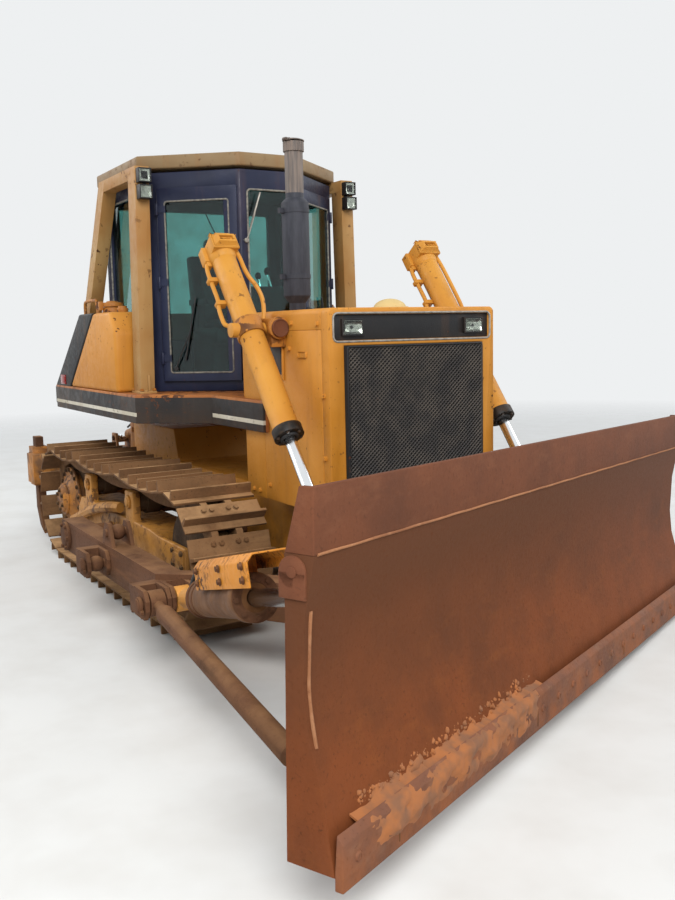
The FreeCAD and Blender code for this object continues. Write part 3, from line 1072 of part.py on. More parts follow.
def head_eye(name, y, z):
    """An eye between two of the blade's lugs."""
    eye = rod(name, "EyeR", "EyeWide")
    x, across, up = blade_point("%s - EyeWide / 2" % y, z)
    return place(eye, x, across, up, "BladeYaw", 0, "BladeRoll - 90")


EYE_WALL = "((FootBallR + PinGap + FootR) / 2 - NeckStrutR / 9)"

# node, foot, lug's place along and above the ball
STRUTS = (
    ("lower_strut_left", ("StrutRearX", "(ArmY + StrutOut)", "HingeZ"), "LowLugY", "LowLugZ"),
    ("lower_strut_right", ("StrutX", "(-ArmY - StrutOut)", "HingeZ"), "-LowLugY", "LowLugZ"),
    ("upper_strut_left", ("StrutRearX", "ArmY", UPPER_FOOT_Z), "TopLugY", "TopLugZ"))
for label, foot, y, z in STRUTS:
    head = blade_point(y, z)
    length = run_of(foot, head)
    tube = turned(label + "_tube", [
        (0, EYE_WALL), ("NeckStrutR", EYE_WALL), ("NeckStrutR", "StrutNeck"), ("StrutR", "StrutNeck + StrutTaper"),
        ("StrutR", length + " - StrutHead - StrutStep"), ("NeckStrutR", length + " - StrutHead"),
        ("NeckStrutR", length), (0, length)])
    keep(join(label + "_joined", [aim(tube, foot, head), foot_eye(label + "_foot", foot),
                                  head_eye(label + "_head", y, z)]), label)
foot, head = ("StrutX", "(-ArmY)", "HingeZ"), blade_point("-TopLugY", "TopLugZ")
length = run_of(foot, head)
tilt_tube = aim(turned("tilt_tube", [
    (0, EYE_WALL), ("TiltNeckR", EYE_WALL), ("TiltNeckR", "StrutNeck"), ("TiltTubeR", "StrutNeck + StrutTaper"),
    ("TiltTubeR", "TiltTube"), ("TiltBarrelR", "TiltTube + TiltStep"), ("TiltBarrelR", "TiltEnd - TiltGland"),
    ("TiltBarrelR + TiltLip", "TiltEnd - TiltGland"), ("TiltBarrelR + TiltLip", "TiltEnd"),
    ("TiltRodR + RodGap", "TiltEnd"), ("TiltRodR + RodGap", "TiltBore"), (0, "TiltBore")]), foot, head)
keep(join("tilt_barrel_joined", [tilt_tube, foot_eye("tilt_foot", foot)]), "tilt_barrel")
tilt_shaft = aim(turned("tilt_shaft", [
    (0, "TiltRodStart"), ("TiltRodR", "TiltRodStart"), ("TiltRodR", length), (0, length)]), foot, head)
keep(join("tilt_rod_joined", [tilt_shaft, head_eye("tilt_head", "-TopLugY", "TopLugZ")]), "tilt_rod")

# Ripper: a frame hinged behind the gear case, with shanks in pockets and two cylinders above
RIPPER_BACK = "(RipperX - RipperDeep)"
RIPPER_TOP = "(RipperLow + RipperHigh)"
SHANK_REAR = "(%s - ShankBack)" % RIPPER_BACK
POCKET_Z = ("RipperLow - PocketLow", "RipperLow + PocketTop")
shanks, ripper_bits = [], [box("ripper_beam", (RIPPER_BACK, "RipperX"), ("-RipperHalf", "RipperHalf"),
                               ("RipperLow", RIPPER_TOP))]
for k in (-1, 0, 1):
    y = "%d * ShankApart" % k
    shanks.append(prism("shank", "XZ", [
        (SHANK_REAR, "RipperLow + ShankTop"), (SHANK_REAR, "TipZ + ShankDeep + 110"),
        (SHANK_REAR + " + ShankDeep - 20", "TipZ + 70"), (RIPPER_BACK + " + TipReach", "TipZ"),
        (RIPPER_BACK + " + TipReach - 40", "TipZ + 90"),
        (SHANK_REAR + " + ShankDeep", "TipZ + 2 * ShankDeep"),
        (SHANK_REAR + " + ShankDeep", "RipperLow + ShankTop")], "%s - ShankWide / 2" % y, "%s + ShankWide / 2" % y))
    across = ("%s - ShankWide" % y, "%s + ShankWide" % y)
    ripper_bits.append(box("pocket", (RIPPER_BACK + " - PocketDeep", RIPPER_BACK + " + 5"), across, POCKET_Z))
    ripper_bits.append(box("pocket_front", (RIPPER_BACK, RIPPER_BACK + " + PocketFront"), across, POCKET_Z))
for side, sign in SIDES:
    ripper_bits.append(prism("ripper_arm_" + side, "XZ", [
        ("RipperX - 5", "RipperLow + PocketLow / 2"), ("RipperHingeX", "RipperHingeZ - RipperArmHigh"),
        ("RipperHingeX + RipperArmTip", "RipperHingeZ - RipperArmHigh / 2"),
        ("RipperHingeX + RipperArmTip", "RipperHingeZ + RipperArmHigh / 2"),
        ("RipperHingeX", "RipperHingeZ + RipperArmHigh"), ("RipperX - 5", RIPPER_TOP + " - PocketLow")],
        *spread(sign, "RipperSide - RipperArmHalf", "RipperSide + RipperArmHalf")))
    for across in beside_eye("RipperSide", "RipperEarGap", sign):
        ripper_bits.append(prism("ripper_ear", "XZ", [
            ("RipperEyeX - RipperEarFoot", RIPPER_TOP + " - 5"), ("RipperEyeX + RipperEarFoot", RIPPER_TOP + " - 5"),
            ("RipperEyeX + RipperEarTip", "RipperEyeZ + RipperEarTop"),
            ("RipperEyeX - RipperEarTip", "RipperEyeZ + RipperEarTop")], *across))


def rear_pin(name, radius, half, x, sign, z):
    """A round bar across the ripper's plane on one side, half to each side of it."""
    bar = rod("%s_%s" % (name, side), radius, "2 * (%s)" % half)
    return place(bar, x, "%d * RipperSide - (%s)" % (sign, half), z, roll=-90)


HINGE, PIVOT = ("RipperHingeX", "RipperHingeZ"), ("RipperPivotX", "RipperPivotZ")
hinge_bores = [rear_pin("ripper_hinge_bore", "PinR + PinGap", "RipperArmHalf + 5", HINGE[0], sign, HINGE[1])
               for side, sign in SIDES]
tools = group("shank_tools", shanks + hinge_bores)
keep(cut("ripper_cut", join("ripper_joined", ripper_bits), tools), "ripper_frame")
keep(group("shanks", shanks), "ripper_shanks")
brackets, barrels, rods = [], [], []
RIPPER_TURN = "atan2(RipperEyeX - RipperPivotX; RipperEyeZ - RipperPivotZ)"
RIPPER_RUN = "sqrt((RipperEyeX - RipperPivotX)^2 + (RipperEyeZ - RipperPivotZ)^2)"
for side, sign in SIDES:
    y = "%d * RipperSide" % sign
    inner, outer = "(RipperArmHalf + EarGap)", "(RipperArmHalf + EarGap + EarWall)"
    bracket = [prism("rear_plate", "XZ", [
        ("HullRear", "RipperHingeZ - BracketRise"), ("RipperHingeX - BracketLip", "RipperHingeZ - BracketLip"),
        ("RipperHingeX - BracketLip", "RipperHingeZ + BracketLip"),
        ("RipperPivotX - BracketLip", "RipperPivotZ - BracketLip"),
        ("RipperPivotX - BracketLip", "RipperPivotZ + BracketLip"), ("HullRear", "RipperPivotZ + BracketRise")],
        "%s + %s" % (y, low), "%s + %s" % (y, high)) for low, high in (("-" + outer, "-" + inner), (inner, outer))]
    bracket += [rear_pin("ripper_pin", "PinR", outer + " + RearPinReach", x, sign, z) for x, z in (HINGE, PIVOT)]
    brackets.append(join("rear_bracket_" + side, bracket))
    tube = turned("ripper_tube_" + side, [
        (0, "RipperBarrelStart"), ("RipperBarrelR", "RipperBarrelStart"), ("RipperBarrelR", "RipperBarrelEnd"),
        ("RipperRodR + RodGap", "RipperBarrelEnd"), ("RipperRodR + RodGap", "RipperBore"), (0, "RipperBore")])
    place(tube, "RipperPivotX", y, "RipperPivotZ", pitch=RIPPER_TURN)
    eye = rear_pin("ripper_top_eye", "RearEyeR", "RipperArmHalf", PIVOT[0], sign, PIVOT[1])
    bore = rear_pin("ripper_top_bore", "PinR + PinGap", "RipperArmHalf + 5", PIVOT[0], sign, PIVOT[1])
    barrels.append(cut("ripper_barrel_" + side, join("ripper_barrel_whole_" + side, [tube, eye]), bore))
    shaft = turned("ripper_shaft_" + side, [
        (0, "RipperRodStart"), ("RipperRodR", "RipperRodStart"), ("RipperRodR", RIPPER_RUN), (0, RIPPER_RUN)])
    place(shaft, "RipperPivotX", y, "RipperPivotZ", pitch=RIPPER_TURN)
    eye = rear_pin("ripper_eye", "RipperEyeR", "EyeWide / 2", "RipperEyeX", sign, "RipperEyeZ")
    rods.append(join("ripper_rod_" + side, [shaft, eye]))
for parts, label in ((brackets, "rear_brackets"), (barrels, "ripper_barrels"), (rods, "ripper_rods")):
    keep(group(label + "_both", parts), label)

# Lamps on the guard frame and behind the fenders
work_lamps, tail_lamps = [], []
LAMP_FOOT = "PostX + PostDeep / 2"
for side, sign in SIDES:
    work_lamps.append(box("work_lamp_" + side, (LAMP_FOOT, LAMP_FOOT + " + WorkLampDeep"),
                          spread(sign, POST_IN + " + WorkLampDrop / 2", POST_OUT),
                          (ROOF_LOW + " - WorkLampDrop - WorkLampHigh", ROOF_LOW + " - WorkLampDrop")))
    tail_lamps.append(box("tail_lamp_" + side, ("DeckRear - TailLampDeep", "DeckRear"),
                          spread(sign, DECK_HALF + " - TailLampIn - TailLampWide", DECK_HALF + " - TailLampIn"),
                          ("DeckTop - WorkLampDrop - TailLampHigh", "DeckTop - WorkLampDrop")))
keep(group("work_lamp_pair", work_lamps), "work_lamps")
keep(group("tail_lamp_pair", tail_lamps), "tail_lamps")

doc.recompute()
for item in doc.Objects:
    if "Invalid" in item.State or "Error" in item.State:
        raise RuntimeError("%s failed: %s" % (item.Label, item.State))
os.makedirs("parts", exist_ok=True)
whole = FreeCAD.BoundBox()
for piece in pieces:
    if piece.Shape.isNull() or not piece.Shape.isValid():
        raise RuntimeError("%s has no valid shape" % piece.Label)
    whole.add(piece.Shape.BoundBox)
for piece in pieces:
    piece.Shape.exportStep("parts/%s.step" % piece.Label)
print("%d nodes, %.0f x %.0f x %.0f mm" % (len(pieces), whole.XLength, whole.YLength, whole.ZLength))
print("X %.1f to %.1f, Y %.1f to %.1f, Z %.1f to %.1f" % (
    whole.XMin, whole.XMax, whole.YMin, whole.YMax, whole.ZMin, whole.ZMax))
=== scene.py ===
# %% [markdown]
# # A worn crawler bulldozer
#
# The construction model brings every piece at its real size. This file gives each one its
# finish and adds what a builder of models would add last: the round on pressed edges, bolts,
# pipes, the grille's mesh, lamps, seals and the rust of many working years.
# Lengths are metres, +X points forwards, +Y to the machine's left and the ground is Z 0.

# %% Load the construction model
import bpy
import json
import math
import random
from mathutils import Matrix, Vector, noise


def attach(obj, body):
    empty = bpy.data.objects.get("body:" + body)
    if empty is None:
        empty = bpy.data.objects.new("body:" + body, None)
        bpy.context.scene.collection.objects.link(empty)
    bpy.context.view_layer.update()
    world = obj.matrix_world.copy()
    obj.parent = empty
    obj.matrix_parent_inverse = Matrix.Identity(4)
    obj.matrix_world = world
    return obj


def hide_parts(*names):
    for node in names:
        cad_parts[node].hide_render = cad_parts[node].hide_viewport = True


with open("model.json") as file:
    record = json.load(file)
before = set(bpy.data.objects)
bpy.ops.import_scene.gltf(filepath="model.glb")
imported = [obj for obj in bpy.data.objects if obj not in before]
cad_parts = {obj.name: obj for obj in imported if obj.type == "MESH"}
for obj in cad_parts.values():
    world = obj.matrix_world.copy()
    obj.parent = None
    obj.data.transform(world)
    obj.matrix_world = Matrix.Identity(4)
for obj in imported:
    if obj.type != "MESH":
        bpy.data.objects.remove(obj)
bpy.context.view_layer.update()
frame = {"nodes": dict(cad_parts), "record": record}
BODY_OF = {node: body for body, nodes in frame["record"]["behaviour"]["bodies"].items() for node in nodes}
SIDES = (("left", 1), ("right", -1))

# %% [markdown]
# ## Finishes
#
# Every finish is made of nodes that read Object coordinates, so a stain stays where it is on
# the steel when a piece moves. Colours are written as screen colours and turned to linear
# values by one function. Another one adds a node, sets its options and links its inputs.

# %% Colour and node helpers
def linear(code):
    """A screen colour such as "D89A45" as linear red, green, blue and full alpha."""
    parts = [int(code[k:k + 2], 16) / 255 for k in (0, 2, 4)]
    return [c / 12.92 if c <= 0.04045 else ((c + 0.055) / 1.055) ** 2.4 for c in parts] + [1]


def add_node(tree, kind, inputs=None, **settings):
    """A node with its settings; inputs gives each socket a value or the socket that feeds it."""
    node = tree.nodes.new("ShaderNode" + kind)
    for name, value in settings.items():
        setattr(node, name, value)
    for name, value in (inputs or {}).items():
        if isinstance(value, bpy.types.NodeSocket):
            tree.links.new(value, node.inputs[name])
        else:
            node.inputs[name].default_value = value
    return node


def new_finish(name):
    """An empty material, its node tree and the Object coordinates that its patterns use."""
    material = bpy.data.materials.new(name)
    material.use_nodes = True
    tree = material.node_tree
    tree.nodes.clear()
    return material, tree, add_node(tree, "TexCoord").outputs["Object"]


def pattern(tree, place, scale, detail=4, stretch=(1, 1, 1), turn=0):
    """Noise at a number of waves per metre, stretched and turned about Z."""
    mapped = add_node(tree, "Mapping", {"Vector": place, "Rotation": (0, 0, turn), "Scale": stretch})
    return add_node(tree, "TexNoise", {"Vector": mapped.outputs["Vector"], "Scale": scale, "Detail": detail,
                                       "Roughness": 0.6}).outputs["Fac"]


def between(tree, value, low, high, start=0, end=1):
    """A value turned to start below low and to end above high."""
    return add_node(tree, "MapRange", {"Value": value, "From Min": low, "From Max": high, "To Min": start,
                                       "To Max": end}).outputs["Result"]


def height_of(tree, place):
    """The height above the ground at a place."""
    return add_node(tree, "SeparateXYZ", {"Vector": place}).outputs["Z"]


def times(tree, first, second):
    """The product of two values."""
    return add_node(tree, "Math", {0: first, 1: second}, operation="MULTIPLY").outputs["Value"]


def layer(tree, under, over, where):
    """One colour over another, as far as a value says."""
    mixed = add_node(tree, "Mix", data_type="RGBA")
    for socket, source in ((mixed.inputs[0], where), (mixed.inputs[6], under), (mixed.inputs[7], over)):
        if isinstance(source, bpy.types.NodeSocket):
            tree.links.new(source, socket)
        else:
            socket.default_value = source
    return mixed.outputs[2]


def close_finish(tree, colour, roughness, height=None, depth=0.002, **fixed):
    """The shader with its colour, roughness and bump; fixed holds sockets set to one number."""
    inputs = {"Base Color": colour, "Roughness": roughness}
    if height is not None:
        bump = add_node(tree, "Bump", {"Height": height, "Distance": depth, "Strength": 0.6})
        inputs["Normal"] = bump.outputs["Normal"]
    shader = add_node(tree, "BsdfPrincipled", inputs)
    for name, value in fixed.items():
        shader.inputs[name.replace("_", " ")].default_value = value
    add_node(tree, "OutputMaterial", {"Surface": shader.outputs["BSDF"]})


# %% [markdown]
# ## Enamel on plate steel
#
# The hood, tanks and cylinders are sprayed with yellow machine enamel over pressed plate. Sun
# has faded it in broad patches, stones have chipped it down to rust, rain has drawn brown
# streaks below each chip, and mud has dried on what is near the ground. Each of these is a
# layer, put on in the order in which it came to the machine.

# %% Worn paint
def sprayed(tree, place, fresh, faded, chip_size=26, chip_level=0.64, streak=0.45, mud_top=1.1):
    """Colour of worn paint, the pattern of its chips, and where they are bare."""
    paint = layer(tree, linear(fresh), linear(faded), between(tree, pattern(tree, place, 1.6, 3), 0.35, 0.7))
    streaks = between(tree, pattern(tree, place, 9, 5, (1, 1, 0.09)), 0.55, 0.78)
    paint = layer(tree, paint, linear("8A5A2A"), times(tree, streaks, streak))
    where = between(tree, pattern(tree, place, 2.4, 2), 0.42, 0.62)
    chips = pattern(tree, place, chip_size, 6)
    bare = times(tree, between(tree, chips, chip_level, chip_level + 0.025), where)
    paint = layer(tree, paint, linear("4A2A17"), bare)
    low = between(tree, height_of(tree, place), mud_top, mud_top - 0.7)
    mud = times(tree, low, between(tree, pattern(tree, place, 7, 6), 0.38, 0.66))
    return layer(tree, paint, linear("6B4A2E"), mud), chips, bare


def close_paint(tree, place, paint, chips, bare, gloss):
    """The shader of worn paint: duller where it is chipped, with a low relief."""
    rough = between(tree, chips, 0.3, 0.75, gloss, gloss + 0.3)
    relief = add_node(tree, "Math", {0: pattern(tree, place, 90, 3), 1: bare}, operation="SUBTRACT")
    close_finish(tree, paint, rough, relief.outputs["Value"], 0.0016, Specular_IOR_Level=0.25)


def enamel(name, fresh, faded, gloss=0.42, **wear):
    """Sprayed machine paint in two tones."""
    material, tree, place = new_finish(name)
    close_paint(tree, place, *sprayed(tree, place, fresh, faded, **wear), gloss)
    return material


hood_enamel = enamel("yellow machine enamel", "B67624", "C88A3C", mud_top=0.95)
roof_enamel = enamel("sun-bleached roof enamel", "7C6242", "8C7858", chip_size=18, chip_level=0.6)
guard_enamel = enamel("sun-bleached yellow enamel", "9A6C38", "A88655", chip_size=18, chip_level=0.62)
black_enamel = enamel("black machine enamel", "17181B", "2A2826", gloss=0.36, chip_size=30, chip_level=0.66,
                      streak=0.12)
cab_enamel = enamel("blue-black cab enamel", "181C2E", "282D44", gloss=0.3, chip_size=30, chip_level=0.68,
                    streak=0.1)
rusty_enamel = enamel("yellow enamel worn to rust", "B4762C", "935A28", chip_size=11, chip_level=0.50,
                      streak=0.7, mud_top=1.5)
frame_enamel = enamel("dusty frame enamel", "B87E34", "9A6C34", chip_size=14, chip_level=0.54, streak=0.6,
                      mud_top=0.85)
cream_enamel = enamel("cream enamel", "C8AE76", "BC9E66", chip_size=34, chip_level=0.66, streak=0.2)
print("enamels:", [m.name for m in bpy.data.materials if "enamel" in m.name])

# %% [markdown]
# The fender's band is one pressing with three paints: yellow on top and on the lip, worn to
# rust where boots rub it, black on the side, and a white stripe along the black. The stripe
# runs on the straight lengths only, so its mask reads the height and the place on the fender.

# %% Fender band
deck_enamel, tree, place = new_finish("fender band in three enamels")
top_coat, chips, bare = sprayed(tree, place, "A8682E", "8A5230", chip_size=14, chip_level=0.52, streak=0.6)
band_coat = sprayed(tree, place, "1A1A1C", "38302A", chip_size=20, chip_level=0.6, streak=0.15, mud_top=1.5)[0]
stripe_coat = sprayed(tree, place, "CFC8B8", "B2A892", chip_size=30, chip_level=0.6, streak=0.3)[0]
tall = height_of(tree, place)
axes = add_node(tree, "SeparateXYZ", {"Vector": place}).outputs
outside = add_node(tree, "Math", {0: axes["Y"]}, operation="ABSOLUTE").outputs["Value"]
side_run, rear_run = between(tree, outside, 1.084, 1.086), between(tree, axes["X"], -0.20, -0.19)
straight = add_node(tree, "Math", {0: side_run, 1: rear_run}, operation="MAXIMUM").outputs["Value"]
stripe = times(tree, between(tree, tall, 1.400, 1.401), between(tree, tall, 1.430, 1.429))
coat = layer(tree, band_coat, stripe_coat, times(tree, stripe, straight))
side_only = times(tree, between(tree, tall, 1.543, 1.541), between(tree, outside, 0.640, 0.642))
coat = layer(tree, top_coat, coat, side_only)
close_paint(tree, place, coat, chips, bare, 0.45)

# %% [markdown]
# ## Rusted and polished steel
#
# The blade, arms and shoes are bare structural steel: an even brown coat of old rust, darker
# where water stands and scraped lighter along the way the soil runs. The scrapes follow the
# blade, which stands 25 degrees off square, so their pattern is turned by the same angle.
# Dust lies on what faces up, so the shoes and arms mix it in by their surface's direction.

# %% Bare steel
def rusted(name, base, dark, light, turn=0, run=(1, 1, 1), scrape=0.5, mud="6B4A2E", mud_top=0.5,
           rough_low=0.62, dust=None, top=None):
    """Rolled steel under a coat of rust, with scrapes along run, dust on it and darker at the top."""
    material, tree, place = new_finish(name)
    coat = layer(tree, linear(base), linear(dark), between(tree, pattern(tree, place, 2.2, 5), 0.42, 0.72))
    scrapes = between(tree, pattern(tree, place, 14, 5, run, turn), 0.53, 0.74)
    coat = layer(tree, coat, linear(light), times(tree, scrapes, scrape))
    if top:
        coat = layer(tree, coat, linear(top), between(tree, height_of(tree, place), 0.55, 1.15))
    pits = pattern(tree, place, 60, 6)
    coat = layer(tree, coat, linear(dark), between(tree, pits, 0.58, 0.72))
    low = between(tree, height_of(tree, place), mud_top, mud_top - 0.4)
    caked = times(tree, low, between(tree, pattern(tree, place, 6, 6), 0.40, 0.62))
    coat = layer(tree, coat, linear(mud), caked)
    if dust:
        up = height_of(tree, add_node(tree, "TexCoord").outputs["Normal"])
        lying = times(tree, between(tree, up, 0.3, 0.95), between(tree, pattern(tree, place, 5, 5), 0.3, 0.6))
        coat = layer(tree, coat, linear(dust), lying)
    rough = between(tree, pits, 0, 1, rough_low, 0.95)
    close_finish(tree, coat, rough, pits, 0.0025, Specular_IOR_Level=0.15)
    return material


BLADE_TURN, ALONG_BLADE = math.radians(-25), (1, 0.05, 1)
blade_steel = rusted("rusted blade plate", "6E3A1C", "56301A", "7E461F", BLADE_TURN, ALONG_BLADE, 0.35,
                     "7A4222", top="55331F")
spill_steel = rusted("rusted spill plate", "6A3F2A", "583626", "7C5038", BLADE_TURN, ALONG_BLADE, 0.35,
                     "7A4A32")
edge_steel = rusted("scoured cutting edge steel", "704A38", "56382A", "8E664C", BLADE_TURN, ALONG_BLADE, 0.5,
                    "8A5230", rough_low=0.45)
weld_steel = rusted("weld metal", "9A6A48", "7A4E34", "AE8260")
arm_steel = rusted("rusted structural steel", "5E3E2A", "3E281A", "7A5236", 0, (0.08, 1, 1), dust="7E5A3C")
track_steel = rusted("dusty track steel", "6E4E32", "45301F", "8C6A46", 0, (1, 0.15, 1), 0.5, "745638", 0.6,
                     dust="A9845C")
wheel_steel = rusted("greasy wheel steel", "4E3A28", "2E2218", "6E5438", dust="80603E")
print("steels:", [m.name for m in bpy.data.materials if "steel" in m.name])

# %% [markdown]
# Two parts change finish along their length: the exhaust is dark scale on the hot muffler and
# pale ash on the tail pipe, and each cylinder is paint with a black, oily gland. A mask of
# the distance along the part's own axis switches between the two.

# %% Finishes that change along a part
def along(tree, place, direction, start, soft=0.004):
    """0 before and 1 after a distance along a direction from the origin."""
    run = add_node(tree, "VectorMath", {0: place, 1: direction}, operation="DOT_PRODUCT").outputs["Value"]
    return between(tree, run, start, start + soft)


stack_steel, tree, place = new_finish("heat-scaled exhaust steel")
scale = pattern(tree, place, 30, 5, (1, 1, 0.2))
scaled = layer(tree, linear("24262E"), linear("36373F"), between(tree, scale, 0.4, 0.65))
ash = between(tree, pattern(tree, place, 60, 3, (1, 1, 0.05)), 0.4, 0.6)
ashen = layer(tree, linear("76685E"), linear("5A524D"), ash)
coat = layer(tree, scaled, ashen, along(tree, place, (0, 0, 1), 2.93))
close_finish(tree, coat, between(tree, scale, 0, 1, 0.5, 0.85), scale, 0.0015, Metallic=0.2)

LIFT_AXIS = (0.6148, 0, -0.7887)
lift_enamel, tree, place = new_finish("yellow enamel with an oily gland")
paint, chips, bare = sprayed(tree, place, "B87A2A", "C68C38", chip_size=20, chip_level=0.62, streak=0.5,
                             mud_top=0.6)
oily = layer(tree, linear("17120E"), linear("33261A"), between(tree, chips, 0.45, 0.6))
paint = layer(tree, paint, oily, along(tree, place, LIFT_AXIS, -0.372))
close_paint(tree, place, paint, chips, bare, 0.4)

tilt_coat, tree, place = new_finish("yellow enamel and rusted barrel")
paint, chips, bare = sprayed(tree, place, "D3984C", "C07E34", chip_size=14, chip_level=0.6, streak=0.6,
                             mud_top=0.3)
rust = layer(tree, linear("6E4826"), linear("523218"), between(tree, pattern(tree, place, 9, 6), 0.4, 0.66))
paint = layer(tree, paint, rust, along(tree, place, (1, 0, 0), 1.56))
close_paint(tree, place, paint, chips, bare, 0.5)


# %% [markdown]
# The rods are hard chrome, drawn and ground, so they get one even colour and a low roughness.
# Rubber, vinyl and moulded plastic are nearly black and differ by their grain.

# %% Plain finishes
def plain(name, code, other, scale, roughness, **fixed):
    """Moulded or polished stuff: two near colours mixed by a fine pattern."""
    material, tree, place = new_finish(name)
    grain = pattern(tree, place, scale, 3)
    colour = layer(tree, linear(code), linear(other), between(tree, grain, 0.4, 0.65))
    close_finish(tree, colour, between(tree, grain, 0, 1, roughness, roughness + 0.12), grain, 0.0004, **fixed)
    return material


chrome = plain("hard chrome plate", "F0F2F4", "EAECEE", 6, 0.10, Metallic=1.0)
rubber = plain("moulded rubber", "1B1B1C", "262524", 120, 0.62)
seal_rubber = plain("dusty window rubber", "5E5B55", "8A8578", 40, 0.7)
seat_vinyl = plain("grained black vinyl", "1C1C1F", "29282A", 380, 0.5)
cabin_plastic = plain("moulded cabin plastic", "24262A", "303135", 250, 0.55)
engine_iron = plain("painted cast iron", "4A4C4E", "3A3A3C", 30, 0.6)
core_metal = plain("dusty radiator fins", "121213", "1C1A18", 90, 0.8)
mesh_metal = plain("dusty black expanded metal", "44403E", "605850", 7, 0.5, Metallic=0.3)
# This pale finish is real aluminium on the wipers and dials and a painted highlight on the lamp panel's rim.
aluminium_and_painted_highlight = plain("dull aluminium and painted highlight", "9A948A", "7C766E", 30, 0.4, Metallic=0.4)
reflector = plain("bright lamp reflector", "E4E4E0", "C8C9C6", 60, 0.12, Metallic=1.0)
# This dark finish is real grease on the gland bolts and painted shade on the plates behind the yokes.
grease_and_painted_shade = plain("grease, oily dirt and painted shade", "1C130C", "3A2818", 24, 0.45)
caked_mud = plain("dried clay", "9A5E32", "7A5238", 9, 0.9)


def glazing(name, tint, other, **fixed):
    """Toughened sheet glass with a thin film of dust."""
    material, tree, place = new_finish(name)
    dust = between(tree, pattern(tree, place, 3, 5), 0.45, 0.8)
    film = layer(tree, linear(tint), linear(other), dust)
    close_finish(tree, film, between(tree, dust, 0, 1, 0.02, 0.12), **fixed)
    return material


cab_pane = glazing("tinted cab glass", "8FC0BC", "7E9E94", Transmission_Weight=1.0, IOR=1.45)
lamp_pane = glazing("clear lamp glass", "DDE2DC", "C4C9C2", Transmission_Weight=1.0, IOR=1.45)
red_lens = glazing("red acrylic lens", "8E1512", "6E1A16", IOR=1.49)


# %% [markdown]
# ## Softened construction pieces
#
# Plate is never cut to a knife edge, and the thin line of light along a rounded corner is
# what makes a large machine look solid. The construction meshes are loose triangles, so each
# is copied, its corners are merged, its flat faces are made whole again, and a bevel rounds
# what is sharper than the limit. The copy then stands for the piece. A finish mostly goes with
# one slot, so the slots are listed once and named again only where a piece differs.

# %% Copy, merge, bevel
SLOTS = {"yellow_paint": (hood_enamel, roof_enamel, guard_enamel, rusty_enamel, frame_enamel, cream_enamel,
                          lift_enamel),
         "black_paint": (black_enamel, cab_enamel, deck_enamel, rubber, seal_rubber, grease_and_painted_shade, mesh_metal,
                         aluminium_and_painted_highlight),
         "rusty_steel": (blade_steel, spill_steel, weld_steel, arm_steel, stack_steel, tilt_coat, caked_mud),
         "worn_edge": (edge_steel,), "track_steel": (track_steel,), "wheel_steel": (wheel_steel,),
         "chrome_rod": (chrome,), "seat_cover": (seat_vinyl,), "cabin_plastic": (cabin_plastic,),
         "engine_iron": (engine_iron,), "lamp_glass": (reflector, lamp_pane), "red_lens": (red_lens,)}
SLOT_OF = {finish.name: slot for slot, finishes in SLOTS.items() for finish in finishes}
MERGE_WITHIN, FLAT_WITHIN, SHARP_FROM = 0.00005, math.radians(0.6), math.radians(30)


def only(piece):
    """Select one object and make it the active one."""
    bpy.ops.object.select_all(action="DESELECT")
    piece.select_set(True)
    bpy.context.view_layer.objects.active = piece


def put_in(name, data):
    """A new object in the scene, picked."""
    piece = bpy.data.objects.new(name, data)
    bpy.context.scene.collection.objects.link(piece)
    only(piece)
    return piece


def modify(piece, name, kind, **settings):
    """Give a piece a modifier with its settings and apply it."""
    only(piece)
    change = piece.modifiers.new(name, kind)
    for key, value in settings.items():
        setattr(change, key, value)
    bpy.ops.object.modifier_apply(modifier=change.name)
    return piece


def rounded(piece, width, segments=2):
    """Round the sharp edges."""
    return modify(piece, "Round", "BEVEL", width=width, segments=segments, limit_method="ANGLE",
                  angle_limit=SHARP_FROM)


def finish_piece(piece, name, finish, body="chassis", slot=None, smooth=35):
    """Give a new piece its name, finish, shading and body, with its place in its mesh."""
    only(piece)
    bpy.ops.object.transform_apply()
    bpy.ops.object.shade_smooth_by_angle(angle=math.radians(smooth))
    piece.name = piece.data.name = name
    piece.data.materials.clear()
    piece.data.materials.append(finish)
    slot = slot or SLOT_OF[finish.name]
    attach(piece, body)
    return piece


def soften(node, finish, width, slot=None):
    """A merged and rounded copy that stands for a construction node."""
    piece = put_in(node + "_soft", frame["nodes"][node].data.copy())
    bpy.ops.object.mode_set(mode="EDIT")
    bpy.ops.mesh.select_all(action="SELECT")
    bpy.ops.mesh.remove_doubles(threshold=MERGE_WITHIN)
    bpy.ops.mesh.dissolve_limited(angle_limit=FLAT_WITHIN)
    bpy.ops.object.mode_set(mode="OBJECT")
    finish_piece(rounded(piece, width), node + "_soft", finish, BODY_OF[node], slot)
    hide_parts(node)


